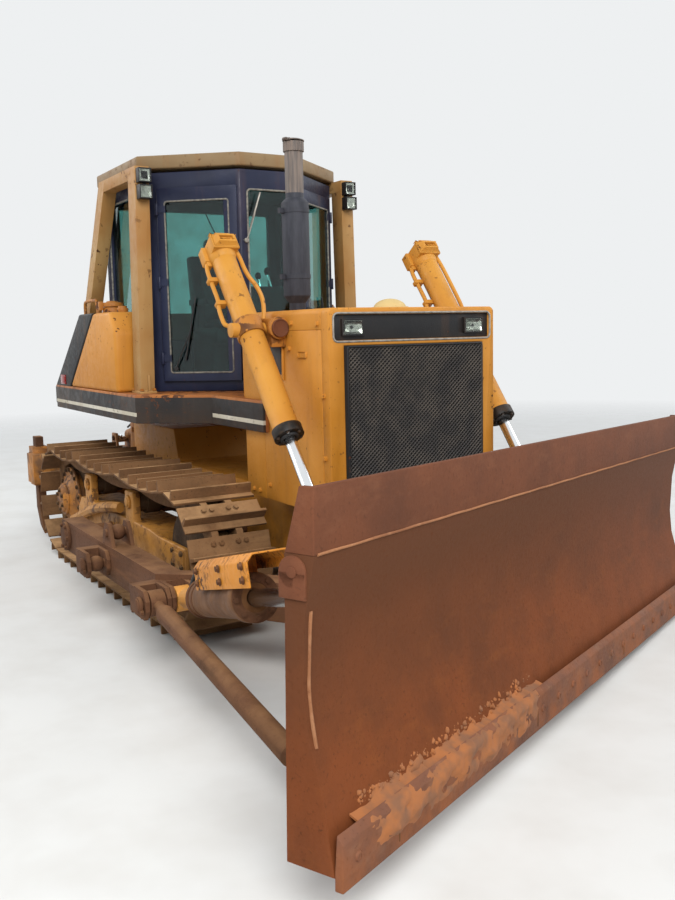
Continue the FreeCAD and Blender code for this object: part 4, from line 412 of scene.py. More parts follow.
# node, finish, width of the round in metres, and the slot where it isn't the finish's own
SOFT_NODES = (
    ("main_frame", hood_enamel, 0.008),
    ("engine_block", engine_iron, 0.01),
    ("radiator_guard", hood_enamel, 0.008),
    ("hood", hood_enamel, 0.004),
    ("engine_covers", hood_enamel, 0.006),
    ("cowl", hood_enamel, 0.012),
    ("lamp_panel", black_enamel, 0.003),
    ("exhaust_stack", stack_steel, 0.003),
    ("deck", deck_enamel, 0.005),
    ("cab_shell", cab_enamel, 0.008),
    ("cab_door_left", cab_enamel, 0.006),
    ("cab_door_right", cab_enamel, 0.006),
    ("seat", seat_vinyl, 0.03),
    ("console", cabin_plastic, 0.02),
    ("roof", roof_enamel, 0.012),
    ("guard_frame", guard_enamel, 0.014),
    ("side_tanks", hood_enamel, 0.03),
    ("rear_covers", black_enamel, 0.03),
    ("fuel_tank", hood_enamel, 0.03),
    ("track_left", track_steel, 0.004),
    ("track_right", track_steel, 0.004),
    ("idlers", wheel_steel, 0.006),
    ("sprockets", wheel_steel, 0.006, "track_steel"),
    ("final_drives", rusty_enamel, 0.01, "wheel_steel"),
    ("track_frames", frame_enamel, 0.01),
    ("track_rollers", wheel_steel, 0.004, "track_steel"),
    ("frame_axles", arm_steel, 0.004, "yellow_paint"),
    ("c_frame", arm_steel, 0.012),
    ("lift_barrel_left", lift_enamel, 0.004),
    ("lift_barrel_right", lift_enamel, 0.004),
    ("lift_rod_left", chrome, 0.004),
    ("lift_rod_right", chrome, 0.004),
    ("lift_yoke_left", rusty_enamel, 0.012),
    ("lift_yoke_right", rusty_enamel, 0.012),
    ("moldboard", blade_steel, 0.005),
    ("spill_plate", spill_steel, 0.004),
    ("cutting_edge", edge_steel, 0.004),
    ("lower_strut_left", arm_steel, 0.004),
    ("lower_strut_right", arm_steel, 0.004),
    ("upper_strut_left", rusty_enamel, 0.004),
    ("tilt_barrel", tilt_coat, 0.005),
    ("tilt_rod", chrome, 0.004),
    ("ripper_frame", rusty_enamel, 0.01),
    ("ripper_shanks", arm_steel, 0.006),
    ("rear_brackets", rusty_enamel, 0.006),
    ("ripper_barrels", rusty_enamel, 0.004),
    ("ripper_rods", chrome, 0.004),
)
for row in SOFT_NODES:
    soften(*row)
for node, finish in (("radiator_core", core_metal), ("grille", core_metal), ("headlamps", lamp_pane),
                     ("door_glass_left", cab_pane), ("door_glass_right", cab_pane), ("cab_glass", cab_pane),
                     ("work_lamps", lamp_pane), ("tail_lamps", red_lens)):
    frame["nodes"][node].data.materials.clear()
    frame["nodes"][node].data.materials.append(finish)
print(len(SOFT_NODES), "nodes softened")

# %% [markdown]
# ## Tools for the small pieces
#
# What the construction model leaves out is modelled here as by hand: a primitive at its place,
# faces picked by where they lie, inset and drawn out, edges rounded by a bevel. A repeated
# piece, such as a bolt, is modelled once and stamped where it is needed, each with its own mesh.

# %% Modelling helpers
def towards(way, limit=0.9):
    """A test passed by the faces that look along a way."""
    return lambda face: face.normal.dot(Vector(way)) > limit


def sideways(face):
    """A test passed by the faces on both sides."""
    return abs(face.normal.y) > 0.9


FORWARD, BACK, UP, DOWN = (towards(way) for way in ((1, 0, 0), (-1, 0, 0), (0, 0, 1), (0, 0, -1)))
LEFT, RIGHT = towards((0, 1, 0)), towards((0, -1, 0))
OUT = {1: LEFT, -1: RIGHT}


def block(corner, other):
    """A cube primitive between two opposite corners."""
    low, high = Vector(map(min, corner, other)), Vector(map(max, corner, other))
    bpy.ops.mesh.primitive_cube_add(size=1, location=(low + high) / 2, scale=high - low)
    bpy.ops.object.transform_apply()
    return bpy.context.object


def bar(start, end, radius, sides=24, tip=None):
    """A round bar between two points, with another radius at its end if tip is given."""
    start, end = Vector(start), Vector(end)
    bpy.ops.mesh.primitive_cone_add(vertices=sides, radius1=radius, radius2=radius if tip is None else tip,
                                    depth=(end - start).length, location=(start + end) / 2,
                                    rotation=(end - start).to_track_quat("Z", "Y").to_euler())
    bpy.ops.object.transform_apply()
    return bpy.context.object


def pick(piece, test):
    """Open a mesh for editing with those of its faces picked that pass a test."""
    only(piece)
    bpy.ops.object.mode_set(mode="EDIT")
    bpy.ops.mesh.select_mode(type="FACE")
    bpy.ops.mesh.select_all(action="DESELECT")
    bpy.ops.object.mode_set(mode="OBJECT")
    for face in piece.data.polygons:
        face.select = test(face)
    bpy.ops.object.mode_set(mode="EDIT")


def draw_out(piece, test, inset=0, move=None, scale=None):
    """Inset the faces that pass a test, extrude them by move and scale what was drawn out."""
    pick(piece, test)
    if inset:
        bpy.ops.mesh.inset(thickness=inset, use_even_offset=True)
    if move:
        bpy.ops.mesh.extrude_region_move(TRANSFORM_OT_translate={"value": move})
    if scale:
        bpy.ops.transform.resize(value=scale)
    bpy.ops.object.mode_set(mode="OBJECT")
    return piece


def join(pieces):
    """Several meshes as one."""
    only(pieces[0])
    for piece in pieces:
        piece.select_set(True)
    if len(pieces) > 1:
        bpy.ops.object.join()
    return pieces[0]


def settle(piece, place):
    """Move a piece from the origin to a place given by a matrix."""
    only(piece)
    piece.matrix_world = place
    bpy.ops.object.transform_apply()
    return piece


def band(start, end, radius, wall):
    """A round collar open from end to end, whose wall lies inside its radius."""
    ring = bar(start, end, radius, 40)
    pick(ring, lambda face: len(face.vertices) > 4)
    bpy.ops.mesh.delete(type="FACE")
    bpy.ops.object.mode_set(mode="OBJECT")
    return modify(ring, "Wall", "SOLIDIFY", thickness=wall)


def facing(spot, normal):
    """A place at a spot whose Z is the normal and whose Y stays upright."""
    return Matrix.Translation(spot) @ Vector(normal).to_track_quat("Z", "Y").to_matrix().to_4x4()


def circle(radius, count, start=0):
    """Pairs of numbers evenly round a circle, from an angle in degrees."""
    turns = [math.radians(start + 360 * k / count) for k in range(count)]
    return [(radius * math.cos(turn), radius * math.sin(turn)) for turn in turns]


def stamp(piece, places):
    """Copies of a piece at several places, joined; the piece itself goes."""
    made = []
    for place in places:
        copy = bpy.data.objects.new(piece.name + "_copy", piece.data.copy())
        bpy.context.scene.collection.objects.link(copy)
        copy.data.transform(place)
        made.append(copy)
    bpy.data.objects.remove(piece)
    return join(made)


def pipe(points, radius):
    """A round pipe bent smoothly past a few guide points, as a mesh."""
    route = bpy.data.curves.new("route", "CURVE")
    route.dimensions = "3D"
    route.bevel_depth = radius
    route.bevel_resolution = 2
    route.resolution_u = 6
    route.use_fill_caps = True
    spline = route.splines.new("NURBS")
    spline.points.add(len(points) - 1)
    for knot, point in zip(spline.points, points):
        knot.co = (*point, 1)
    spline.order_u = 3
    spline.use_endpoint_u = True
    put_in("pipe", route)
    bpy.ops.object.convert(target="MESH")
    return bpy.context.object


def bolt(across, high):
    """A hexagon bolt head on its washer, at the origin and along Z."""
    head = bar((0, 0, 0), (0, 0, high), across / 1.73, 6)
    draw_out(head, UP, across * 0.12, (0, 0, high * 0.12))
    washer = rounded(bar((0, 0, -0.002), (0, 0, high * 0.2), across * 0.72, 16), high * 0.05, 1)
    return join([head, washer])


def bolts(name, body, spots, across=0.03, high=0.016, finish=arm_steel):
    """Bolt heads at spots, each a point and the way it faces."""
    finish_piece(stamp(bolt(across, high), [facing(*spot) for spot in spots]), name, finish, body)


def seal(place, wide, high, corner, radius):
    """A round strip round a window with rounded corners, in a place's own plane."""
    bpy.ops.mesh.primitive_plane_add(size=1)
    ring = bpy.context.object
    ring.scale = (wide, high, 1)
    bpy.ops.object.transform_apply()
    bpy.ops.object.mode_set(mode="EDIT")
    bpy.ops.mesh.select_all(action="SELECT")
    bpy.ops.mesh.bevel(offset=corner, segments=4, affect="VERTICES")
    bpy.ops.mesh.select_mode(type="FACE")
    bpy.ops.mesh.select_all(action="SELECT")
    bpy.ops.mesh.delete(type="ONLY_FACE")
    bpy.ops.object.mode_set(mode="OBJECT")
    bpy.ops.object.convert(target="CURVE")
    ring = bpy.context.object
    ring.data.bevel_depth = radius
    ring.data.bevel_resolution = 2
    bpy.ops.object.convert(target="MESH")
    return settle(bpy.context.object, place)


print("helpers ready")

# %% [markdown]
# ## Grille
#
# The radiator stands behind expanded metal: a sheet that is slit and pulled until each slit
# opens to a diamond. A grid whose squares are poked and whose own lines are then dissolved
# leaves just such diamonds, and a wireframe turns their edges to strands.

# %% Expanded metal
MESH_SIZE, COLUMNS, ROWS = 0.99, 35, 39
bpy.ops.mesh.primitive_grid_add(x_subdivisions=COLUMNS, y_subdivisions=ROWS, size=1)
grille_mesh = bpy.context.object
bpy.ops.object.mode_set(mode="EDIT")
bpy.ops.mesh.select_all(action="SELECT")
bpy.ops.mesh.poke()
bpy.ops.mesh.select_mode(type="EDGE")
bpy.ops.mesh.select_all(action="DESELECT")
bpy.ops.object.mode_set(mode="OBJECT")
for edge in grille_mesh.data.edges:
    a, b = (grille_mesh.data.vertices[k].co for k in edge.vertices)
    across = abs(a.x - b.x) < 1e-5 or abs(a.y - b.y) < 1e-5
    inside = max(abs(a.x + b.x), abs(a.y + b.y)) < 0.999
    edge.select = across and inside
bpy.ops.object.mode_set(mode="EDIT")
bpy.ops.mesh.dissolve_edges(use_verts=False)
bpy.ops.object.mode_set(mode="OBJECT")
settle(grille_mesh, facing((1.446, 0, 1.4075), (1, 0, 0)) @ Matrix.Diagonal((MESH_SIZE, MESH_SIZE, 1, 1)))
modify(grille_mesh, "Strands", "WIREFRAME", thickness=0.0085, use_even_offset=False)
finish_piece(grille_mesh, "grille_mesh", mesh_metal)
frame_strip = seal(facing((1.443, 0, 1.4075), (1, 0, 0)), 1.0, 1.0, 0.012, 0.008)
finish_piece(frame_strip, "grille_frame", black_enamel)
print(len(grille_mesh.data.polygons), "faces in the grille mesh")

# %% [markdown]
# ## Lamp panel
#
# A thin rim with rounded corners runs round the black panel, coloured pale as a painted highlight
# along the nose's edge. Each headlamp is a box with a hollowed reflector, a bulb and a pressed
# glass. The construction model has one block for it, so these pieces stand for that block.

# %% Highlight rim and headlamps
# painted highlight: the rim round the lamp panel is coloured pale to show the line of light along the rounded
# edge
highlight_rim = seal(facing((1.424, 0, 2.021), (1, 0, 0)), 1.165, 0.166, 0.03, 0.007)
finish_piece(highlight_rim, "lamp_panel_highlight_rim", aluminium_and_painted_highlight)
bezels, bowls, bulbs, panes = [], [], [], []
for side, sign in SIDES:
    y = 0.45 * sign
    bezel = block((1.409, y - 0.074, 1.971), (1.429, y + 0.074, 2.071))
    draw_out(bezel, FORWARD, 0.009, (-0.016, 0, 0))
    bezels.append(rounded(bezel, 0.002))
    bowl = block((1.412, y - 0.063, 1.982), (1.4265, y + 0.063, 2.060))
    draw_out(bowl, FORWARD, 0.003, (-0.0125, 0, 0), (1, 0.62, 0.45))
    bowls.append(rounded(bowl, 0.002))
    bulbs.append(rounded(bar((1.414, y, 2.021), (1.425, y, 2.021), 0.011, 16, 0.006), 0.002))
    glass = block((1.4272, y - 0.064, 1.981), (1.4305, y + 0.064, 2.061))
    panes.append(rounded(glass, 0.001))
for parts, name, finish in ((bezels, "headlamp_bezels", black_enamel), (bowls, "headlamp_bowls", reflector),
                            (bulbs, "headlamp_bulbs", lamp_pane), (panes, "headlamp_glass", lamp_pane)):
    lamp_part = finish_piece(join(parts), name, finish)
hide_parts("headlamps")
print("headlamps done")

# %% [markdown]
# ## Hood fittings
#
# A low cream cap covers the radiator's filler. Studs and a recessed grip hold each side cover,
# and rows of bolts show where the guard is fixed to the hull. Behind the cylinder's yoke a thin
# near-black plate is painted shade: it stands for the shadowed opening where the yoke comes out.

# %% Filler cap, studs, grips and painted shade behind the yokes
bpy.ops.mesh.primitive_uv_sphere_add(segments=36, ring_count=18, radius=0.105, location=(1.15, 0, 2.134),
                                     scale=(1, 1, 0.6))
dome = bpy.context.object
bpy.ops.object.transform_apply()
bpy.ops.object.mode_set(mode="EDIT")
bpy.ops.mesh.bisect(plane_co=(0, 0, 2.137), plane_no=(0, 0, 1), clear_inner=True, use_fill=True)
bpy.ops.object.mode_set(mode="OBJECT")
rim = rounded(bar((1.15, 0, 2.136), (1.15, 0, 2.146), 0.118, 36), 0.003)
finish_piece(join([dome, rim]), "filler_cap", cream_enamel)

studs, grips, shade_plates, lips = [], [], [], []
for side, sign in SIDES:
    y = 0.615 * sign
    studs += [((x, y, z), (0, sign, 0)) for x, z in
              ((0.977, 2.055), (0.944, 1.899), (1.30, 2.045), (1.30, 1.0), (0.62, 1.0),
               (0.377, 0.944), (0.470, 0.945), (1.36, 1.62), (1.36, 1.25), (1.36, 0.95))]
    grip = block((1.06, y - 0.012, 1.845), (1.16, y + 0.012, 1.88))
    draw_out(grip, sideways, 0.006)
    draw_out(grip, lambda face: face.normal.y * sign > 0.9 and abs(face.center.x - 1.11) < 0.03,
             move=(0, -0.008 * sign, 0))
    grips.append(rounded(grip, 0.002))
    # painted shade: a thin near-black plate stands for the shadowed opening where the yoke leaves the cover
    shade_plate = block((0.60, y - 0.004 * sign, 1.735), (0.85, y + 0.003 * sign, 1.99))
    draw_out(shade_plate, OUT[sign], 0.02, (0, 0.004 * sign, 0))
    shade_plates.append(rounded(shade_plate, 0.002))
    lips.append(rounded(block((0.85, y, 1.70), (0.866, y + 0.014 * sign, 2.0)), 0.004))
bolts("hood_studs", "chassis", studs, 0.026, 0.014, hood_enamel)
finish_piece(join(grips), "cover_grips", hood_enamel)
finish_piece(join(shade_plates), "yoke_painted_shade", grease_and_painted_shade)
finish_piece(join(lips), "cover_lips", hood_enamel)
print(len(studs), "studs")

# %% [markdown]
# ## Exhaust
#
# Straps hold the muffler, a collar ends the tail pipe, and a hinged flap keeps rain out. The
# flap is a pressed disc that lies almost shut on its hinge, with a small counterweight.

# %% Rain cap, collar and straps
STACK_X, STACK_Y = 0.39, -0.25
collar = bar((STACK_X, STACK_Y, 3.205), (STACK_X, STACK_Y, 3.268), 0.071, 32)
draw_out(collar, UP, 0.009, (0, 0, -0.03))
flap = bar((0, 0, 0), (0, 0, 0.006), 0.074, 32)
draw_out(flap, UP, 0.012, (0, 0, 0.004))
arm = block((-0.012, 0.055, 0.0), (0.012, 0.092, 0.010))
draw_out(arm, LEFT, 0.001, (0, 0.016, -0.006))
hinge = bar((-0.03, 0.078, 0.0), (0.03, 0.078, 0.0), 0.008, 12)
flap = settle(join([flap, arm, hinge]), Matrix.Translation((STACK_X, STACK_Y, 3.274))
              @ Matrix.Rotation(math.radians(205), 4, "Z") @ Matrix.Rotation(math.radians(3), 4, "X"))
straps = [bar((STACK_X, STACK_Y, z), (STACK_X, STACK_Y, z + 0.03), 0.097, 32) for z in (2.36, 2.80)]
tabs = [block((STACK_X - 0.015, STACK_Y - 0.125, z - 0.002), (STACK_X + 0.015, STACK_Y - 0.09, z + 0.032))
        for z in (2.36, 2.80)]
finish_piece(rounded(join([collar, flap] + straps + tabs), 0.0015, 1), "rain_cap", stack_steel)

# %% [markdown]
# ## Lift cylinders
#
# Each cylinder has a cast head with its ports, a steel pipe that carries oil to the lower end,
# a ring at the trunnion and a seal round the rod. They are drawn in the cylinder's own frame,
# Z along the barrel from the trunnion, and then set in place. Both cylinders are the same
# part, so they aren't mirrored: only the upper pipe on the far one runs straight.

# %% Heads, pipes, rings and seals
def barrel_place(pivot, eye):
    """The frame of a cylinder at its pivot: Z towards the rod's eye, Y as near sideways as can be."""
    axis = (Vector(eye) - Vector(pivot)).normalized()
    side = (Vector((0, 1, 0)) - axis.y * axis).normalized()
    return Matrix.Translation(pivot) @ Matrix((side.cross(axis), side, axis)).transposed().to_4x4()


for side, sign in SIDES:
    place = barrel_place((0.785, 0.81 * sign, 2.020), (1.810, 0.81 * sign, 0.705))
    body = "lift_barrel_" + side
    head = block((-0.10, -0.088, -0.705), (0.10, 0.088, -0.600))
    draw_out(head, BACK, 0.012, (-0.035, 0, 0), (1, 0.8, 0.75))
    draw_out(head, BACK, 0.014, (0.022, 0, 0))
    draw_out(head, DOWN, 0.03, (0, 0, -0.022), (0.75, 0.75, 1))
    ear = block((0.02, -0.115, -0.70), (0.09, -0.06, -0.585))
    draw_out(ear, UP, 0.008, (0, 0, 0.03), (0.8, 0.8, 1))
    neck = bar((0, 0, -0.61), (0, 0, -0.555), 0.094, 32, 0.081)
    head = rounded(join([head, ear, neck]), 0.006, 3)
    settle(head, place)
    finish_piece(head, "lift_head_" + side, lift_enamel, body)
    low_pipe = [(0.055, -0.09, -0.60), (0.055, -0.112, -0.56), (0.050, -0.114, -0.40), (0.048, -0.112, -0.26),
                (0.055, -0.126, -0.22), (0.055, -0.128, -0.10), (0.045, -0.120, -0.07), (0.030, -0.082, -0.05)]
    up_pipe = ([(-0.04, 0.07, -0.66), (-0.04, 0.098, -0.62), (-0.04, 0.099, -0.42), (-0.02, 0.160, -0.33),
                (0.0, 0.172, -0.20), (0.04, 0.150, -0.115)] if sign < 0 else
               [(-0.04, 0.07, -0.66), (-0.04, 0.098, -0.62), (-0.04, 0.100, -0.30), (-0.04, 0.098, -0.10),
                (-0.03, 0.075, -0.06)])
    pipes = [pipe(low_pipe, 0.0145), pipe(up_pipe, 0.0145)]
    for z in (-0.44, -0.25):
        clamp = block((0.028, -0.132, z - 0.016), (0.078, -0.068, z + 0.016))
        draw_out(clamp, RIGHT, 0.006, (0, -0.006, 0))
        pipes.append(rounded(clamp, 0.004))
    for spot in ((0.055, -0.09, -0.585), (-0.04, 0.075, -0.655)):
        pipes.append(bar(Vector(spot) - Vector((0, 0, 0.014)), Vector(spot) + Vector((0, 0, 0.022)), 0.022, 6))
    finish_piece(settle(join(pipes), place), "lift_pipes_" + side, lift_enamel, body)
    ring = rounded(band((0, 0, -0.058), (0, 0, 0.058), 0.0915, 0.013), 0.005, 3)
    finish_piece(settle(ring, place), "trunnion_ring_" + side, rusty_enamel, body)
    gland_spots = [place @ facing((x, y, 0.803), (0, 0, 1)) for x, y in circle(0.075, 6, 30)]
    finish_piece(stamp(bolt(0.016, 0.008), gland_spots), "gland_bolts_" + side, grease_and_painted_shade, body)
    bpy.ops.mesh.primitive_torus_add(major_radius=0.048, minor_radius=0.0105, major_segments=40,
                                     minor_segments=10, location=(0, 0, 0.806))
    wiper_ring = settle(bpy.context.object, place @ Matrix.Translation((0, 0, 0.806)))
    finish_piece(wiper_ring, "rod_seal_" + side, rubber, body)
    # the yoke turns on a shaft along the hood, whose round end faces forwards
    spot = Vector((0.893, 0.672 * sign, 2.028))
    collar = bar(spot, spot + Vector((0.030, 0, 0)), 0.070, 12)
    draw_out(collar, FORWARD, 0.012, (0.006, 0, 0))
    cap = bar(spot + Vector((0.030, 0, 0)), spot + Vector((0.052, 0, 0)), 0.056, 36)
    draw_out(cap, FORWARD, 0.008, (-0.005, 0, 0))
    finish_piece(rounded(collar, 0.006), "yoke_collar_" + side, rusty_enamel)
    finish_piece(rounded(cap, 0.003), "yoke_cap_" + side, spill_steel)
print("lift cylinders dressed")

# %% [markdown]
# ## Cab glass, doors and wipers
#
# Every pane sits in a rubber strip, pale with dust, that catches the light as a thin line. The
# doors hang on three hinges and close with a handle. Wipers park upright beside the posts.

# %% Window seals
CAB_BEND, SLANT_END = Vector((-0.97, 0.83, 0)), Vector((-0.47, 0.25, 0))
SLANT_ALONG = (SLANT_END - CAB_BEND).normalized()


def slant_spot(distance, height, out, sign):
    """A point on the door's side of the cab: along the slant from the bend, up, and outwards."""
    spot = CAB_BEND + SLANT_ALONG * distance + Vector((-SLANT_ALONG.y, SLANT_ALONG.x, 0)) * out
    return Vector((spot.x, spot.y * sign, height))


def slant_way(sign):
    """The way that the cab's slanting side faces."""
    return Vector((-SLANT_ALONG.y, SLANT_ALONG.x * sign, 0))


SLANT_LONG = (SLANT_END - CAB_BEND).length
GLASS_FROM, GLASS_TO = 0.13 + 0.05, SLANT_LONG - 0.04 - 0.05
seals = [seal(facing((-0.471, 0, 2.585), (1, 0, 0)), 0.384, 0.994, 0.03, 0.008),
         seal(facing((-1.949, 0, 2.515), (-1, 0, 0)), 1.424, 1.134, 0.03, 0.008)]
for side, sign in SIDES:
    seals.append(seal(facing((-1.46, 0.829 * sign, 2.515), (0, sign, 0)), 0.744, 1.134, 0.03, 0.008))
    spot = slant_spot((GLASS_FROM + GLASS_TO) / 2, 2.357, 0.034, sign)
    door_seal = seal(facing(spot, slant_way(sign)), GLASS_TO - GLASS_FROM + 0.006, 1.300, 0.02, 0.007)
    finish_piece(door_seal, "door_seal_" + side, seal_rubber, "cab_door_" + side)
finish_piece(join(seals), "window_seals", seal_rubber)
print("door glass from", round(GLASS_FROM, 3), "to", round(GLASS_TO, 3), "along the slant")

# %% Door hinges, handles and wipers
for side, sign in SIDES:
    way, body = slant_way(sign), "cab_door_" + side
    hinges = []
    for z in (1.82, 2.40, 2.95):
        ends = [slant_spot(0.115, z + rise, 0.040, sign) for rise in (-0.045, 0.045)]
        knuckle = rounded(bar(*ends, 0.013, 16), 0.003)
        leaf = block((-0.035, -0.030, 0), (0.035, 0.030, 0.006))
        draw_out(leaf, UP, 0.006, (0, 0, 0.003))
        hinges += [knuckle, settle(leaf, facing(slant_spot(0.150, z, 0.034, sign), way))]
    finish_piece(join(hinges), "door_hinges_" + side, cab_enamel, body)
    base = rounded(settle(block((-0.022, -0.075, 0), (0.022, 0.075, 0.012)),
                          facing(slant_spot(SLANT_LONG - 0.058, 2.12, 0.035, sign), way)), 0.004)
    bow = ((2.06, 0.04), (2.06, 0.075), (2.09, 0.085), (2.15, 0.085), (2.18, 0.075), (2.18, 0.04))
    grip = pipe([slant_spot(SLANT_LONG - 0.058, z, out, sign) for z, out in bow], 0.009)
    finish_piece(join([base, grip]), "door_handle_" + side, rubber, body)


def wiper(foot, reach, tip_low, tip_high, lift):
    """A wiper: its boss, an arm out to the blade's middle, and the blade with its rubber."""
    foot, reach, low, high, lift = (Vector(v) for v in (foot, reach, tip_low, tip_high, lift))
    boss = rounded(bar(foot, foot + lift, 0.018, 16), 0.003)
    arm = pipe([foot + lift * 0.8, foot.lerp(reach, 0.3) + lift * 1.5, reach + lift * 1.2], 0.0055)
    spine = pipe([low + lift * 0.8, low.lerp(high, 0.5) + lift * 1.1, high + lift * 0.8], 0.006)
    edge = pipe([low + lift * 0.4, high + lift * 0.4], 0.004)
    return join([boss, arm, spine, edge])


front = wiper((-0.47, -0.215, 2.70), (-0.47, -0.145, 2.90), (-0.47, -0.20, 2.74), (-0.47, -0.09, 3.06),
              (0.022, 0, 0))
finish_piece(front, "front_wiper", aluminium_and_painted_highlight)
back = wiper((-1.95, 0.10, 3.10), (-1.95, 0.28, 2.75), (-1.95, 0.24, 2.35), (-1.95, 0.32, 3.02), (-0.022, 0, 0))
finish_piece(back, "rear_wiper", rubber)
for side, sign in SIDES:
    spots = [slant_spot(d, z, 0.030, sign) for d, z in ((0.22, 1.74), (0.34, 2.0), (0.30, 1.80), (0.40, 2.28))]
    swept = wiper(*spots, slant_way(sign) * 0.02)
    finish_piece(swept, "door_wiper_" + side, rubber, "cab_door_" + side)
print("doors dressed")

# %% [markdown]
# ## Lamps and fittings round the cab
#
# The roof's sheet is pressed in inside its rim. Work lamps hang from the roof frame in hooded
# boxes, one above the other. On the tanks and the deck stand the fillers and their lids, the
# foot plates of the guard frame and a hooked handrail beside the left tank, and on the sloping
# covers a rail and a red marker lens.

# %% Roof panel and work lamps
draw_out(bpy.data.objects["roof_soft"], towards((0, 0, 1), 0.99), 0.07, (0, 0, -0.018))
LAMP_BACK = -0.798
lamp_boxes, lamp_faces, lamp_bowls = [], [], []
for side, sign in SIDES:
    for low, high, deep in ((3.130, 3.235, 0.066), (3.010, 3.112, 0.080)):
        rim = LAMP_BACK + deep
        hood_box = block((LAMP_BACK, 0.845 * sign, low), (rim, 0.945 * sign, high))
        draw_out(hood_box, FORWARD, 0.008, (-0.022, 0, 0))
        draw_out(hood_box, BACK, 0.018)
        lamp_boxes.append(rounded(hood_box, 0.003))
        bowl = block((rim - 0.024, 0.855 * sign, low + 0.010), (rim - 0.018, 0.935 * sign, high - 0.010))
        draw_out(bowl, FORWARD, 0.016, (-0.004, 0, 0))
        lamp_bowls.append(bowl)
        lens = block((rim - 0.010, 0.852 * sign, low + 0.007), (rim - 0.005, 0.938 * sign, high - 0.007))
        lamp_faces.append(rounded(lens, 0.001))
    hanger = block((-0.802, 0.88 * sign - 0.012, 3.09), (-0.790, 0.88 * sign + 0.012, 3.15))
    lamp_boxes.append(rounded(hanger, 0.002))
finish_piece(join(lamp_boxes), "work_lamp_boxes", black_enamel)
finish_piece(join(lamp_bowls), "work_lamp_bowls", reflector)
finish_piece(join(lamp_faces), "work_lamp_glass", lamp_pane)
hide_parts("work_lamps")

# %% Fillers, foot plates, rails and lenses
fillers, plates, plate_bolts, lenses, rails = [], [], [], [], []
for side, sign in SIDES:
    y = 0.96 * sign
    neck = bar((-1.46, y, 2.188), (-1.46, y, 2.235), 0.085, 32, 0.074)
    lid = bar((-1.46, y, 2.238), (-1.46, y, 2.272), 0.090, 12, 0.084)
    draw_out(lid, UP, 0.03, (0, 0, 0.012), (0.85, 0.85, 1))
    hasp = block((-1.48, y - 0.115, 2.21), (-1.44, y - 0.080, 2.28))
    small = bar((-1.27, y + 0.02, 2.188), (-1.27, y + 0.02, 2.222), 0.045, 24)
    draw_out(small, UP, 0.010, (0, 0, 0.016))
    fillers += [rounded(part, 0.004) for part in (neck, lid, hasp, small)]
    foot = block((-0.985, 0.862 * sign, 1.558), (-0.775, 0.992 * sign, 1.576))
    draw_out(foot, UP, 0.012, (0, 0, 0.006))
    gusset = block((-0.800, 0.918 * sign - 0.009, 1.575), (-0.780, 0.918 * sign + 0.009, 1.70))
    plates += [rounded(foot, 0.004), rounded(gusset, 0.003)]
    plate_bolts += [((x, s * sign, 1.582), (0, 0, 1)) for x in (-0.965, -0.795) for s in (0.878, 0.976)]
    lens = block((-2.66, 1.088 * sign, 1.575), (-2.52, 1.100 * sign, 1.66))
    draw_out(lens, OUT[sign], 0.012, (0, 0.004 * sign, 0))
    lenses.append(rounded(lens, 0.003))
    y = 1.02 * sign
    rails.append(pipe([(x, y, z) for x, z in ((-2.02, 2.17), (-2.04, 2.28), (-1.98, 2.30), (-1.75, 2.30),
                                              (-1.68, 2.30), (-1.66, 2.17))], 0.014))
finish_piece(join(fillers), "tank_fillers", rusty_enamel)
finish_piece(join(plates), "post_foot_plates", guard_enamel)
bolts("post_foot_bolts", "chassis", plate_bolts, 0.026, 0.014, rusty_enamel)
finish_piece(join(lenses), "side_marker_lenses", red_lens)
finish_piece(join(rails), "cover_rails", rusty_enamel)
hook = pipe([(x, 1.03, z) for x, z in ((-1.020, 1.562), (-1.020, 1.9), (-1.020, 2.56), (-1.015, 2.72),
                                       (-1.09, 2.80), (-1.20, 2.77), (-1.24, 2.70))], 0.014)
thin = pipe([(-1.030, 1.065, 1.90), (-1.030, 1.065, 2.50)], 0.006)
holders = [rounded(block((-1.052, 1.012, z), (-1.005, 1.072, z + 0.03)), 0.004) for z in (1.70, 1.95)]
finish_piece(join([hook, thin] + holders), "hooked_handrail", black_enamel)
print("cab surroundings done")

# %% [markdown]
# ## Inside the cab
#
# Through the glass one sees the seat with its headrest and arms, the levers on the dashboard
# and two dials. They are small controls without joints, but an empty cab would look like a toy.
# The seat's cushion, back and headrest are vinyl over foam. Each starts a little small, as an
# even mesh that Cloth blows up from inside for twenty frames; how far a point may move is
# capped, so that the sides stay nearly flat and the faces crown, as stuffed covers do.

# %% Seat pads
EVEN_MESH, PRESSURE, BLOWN_FRAMES = 0.012, 4, 20


def stuffed(name, low, high, place, swell=0.018):
    """A vinyl pad blown up from a rounded block; place puts it on the seat."""
    pad = rounded(block(low, high), 0.022, 3)
    modify(pad, "Even", "REMESH", mode="VOXEL", voxel_size=EVEN_MESH)
    start = [vertex.co.copy() for vertex in pad.data.vertices]
    cover = pad.modifiers.new("Cover", "CLOTH")
    cover.settings.use_pressure = True
    cover.settings.uniform_pressure_force = PRESSURE
    cover.settings.effector_weights.gravity = 0
    for count in range(BLOWN_FRAMES):
        bpy.context.scene.frame_set(count + 1)
    bpy.ops.object.modifier_apply(modifier=cover.name)
    bpy.context.scene.frame_set(1)
    for vertex, was in zip(pad.data.vertices, start):
        moved = vertex.co - was
        if moved.length > swell:
            vertex.co = was + moved.normalized() * swell
    finish_piece(settle(pad, place), name, seat_vinyl, smooth=60)


rise, front = Vector((-0.162, 0, 0.987)), Vector((0.987, 0, 0.162))
LEAN_BACK = (Matrix.Translation((-1.372, 0, 2.11))
             @ Matrix((rise, front.cross(rise), front)).transposed().to_4x4())
stuffed("seat_cushion", (-0.20, -0.225, 0), (0.22, 0.225, 0.055), Matrix.Translation((-1.17, 0, 2.052)))
stuffed("seat_back", (0.0, -0.215, 0), (0.52, 0.215, 0.050), LEAN_BACK)
stuffed("headrest", (0.56, -0.12, -0.055), (0.70, 0.12, 0.020), LEAN_BACK, 0.012)
print("pads stuffed")

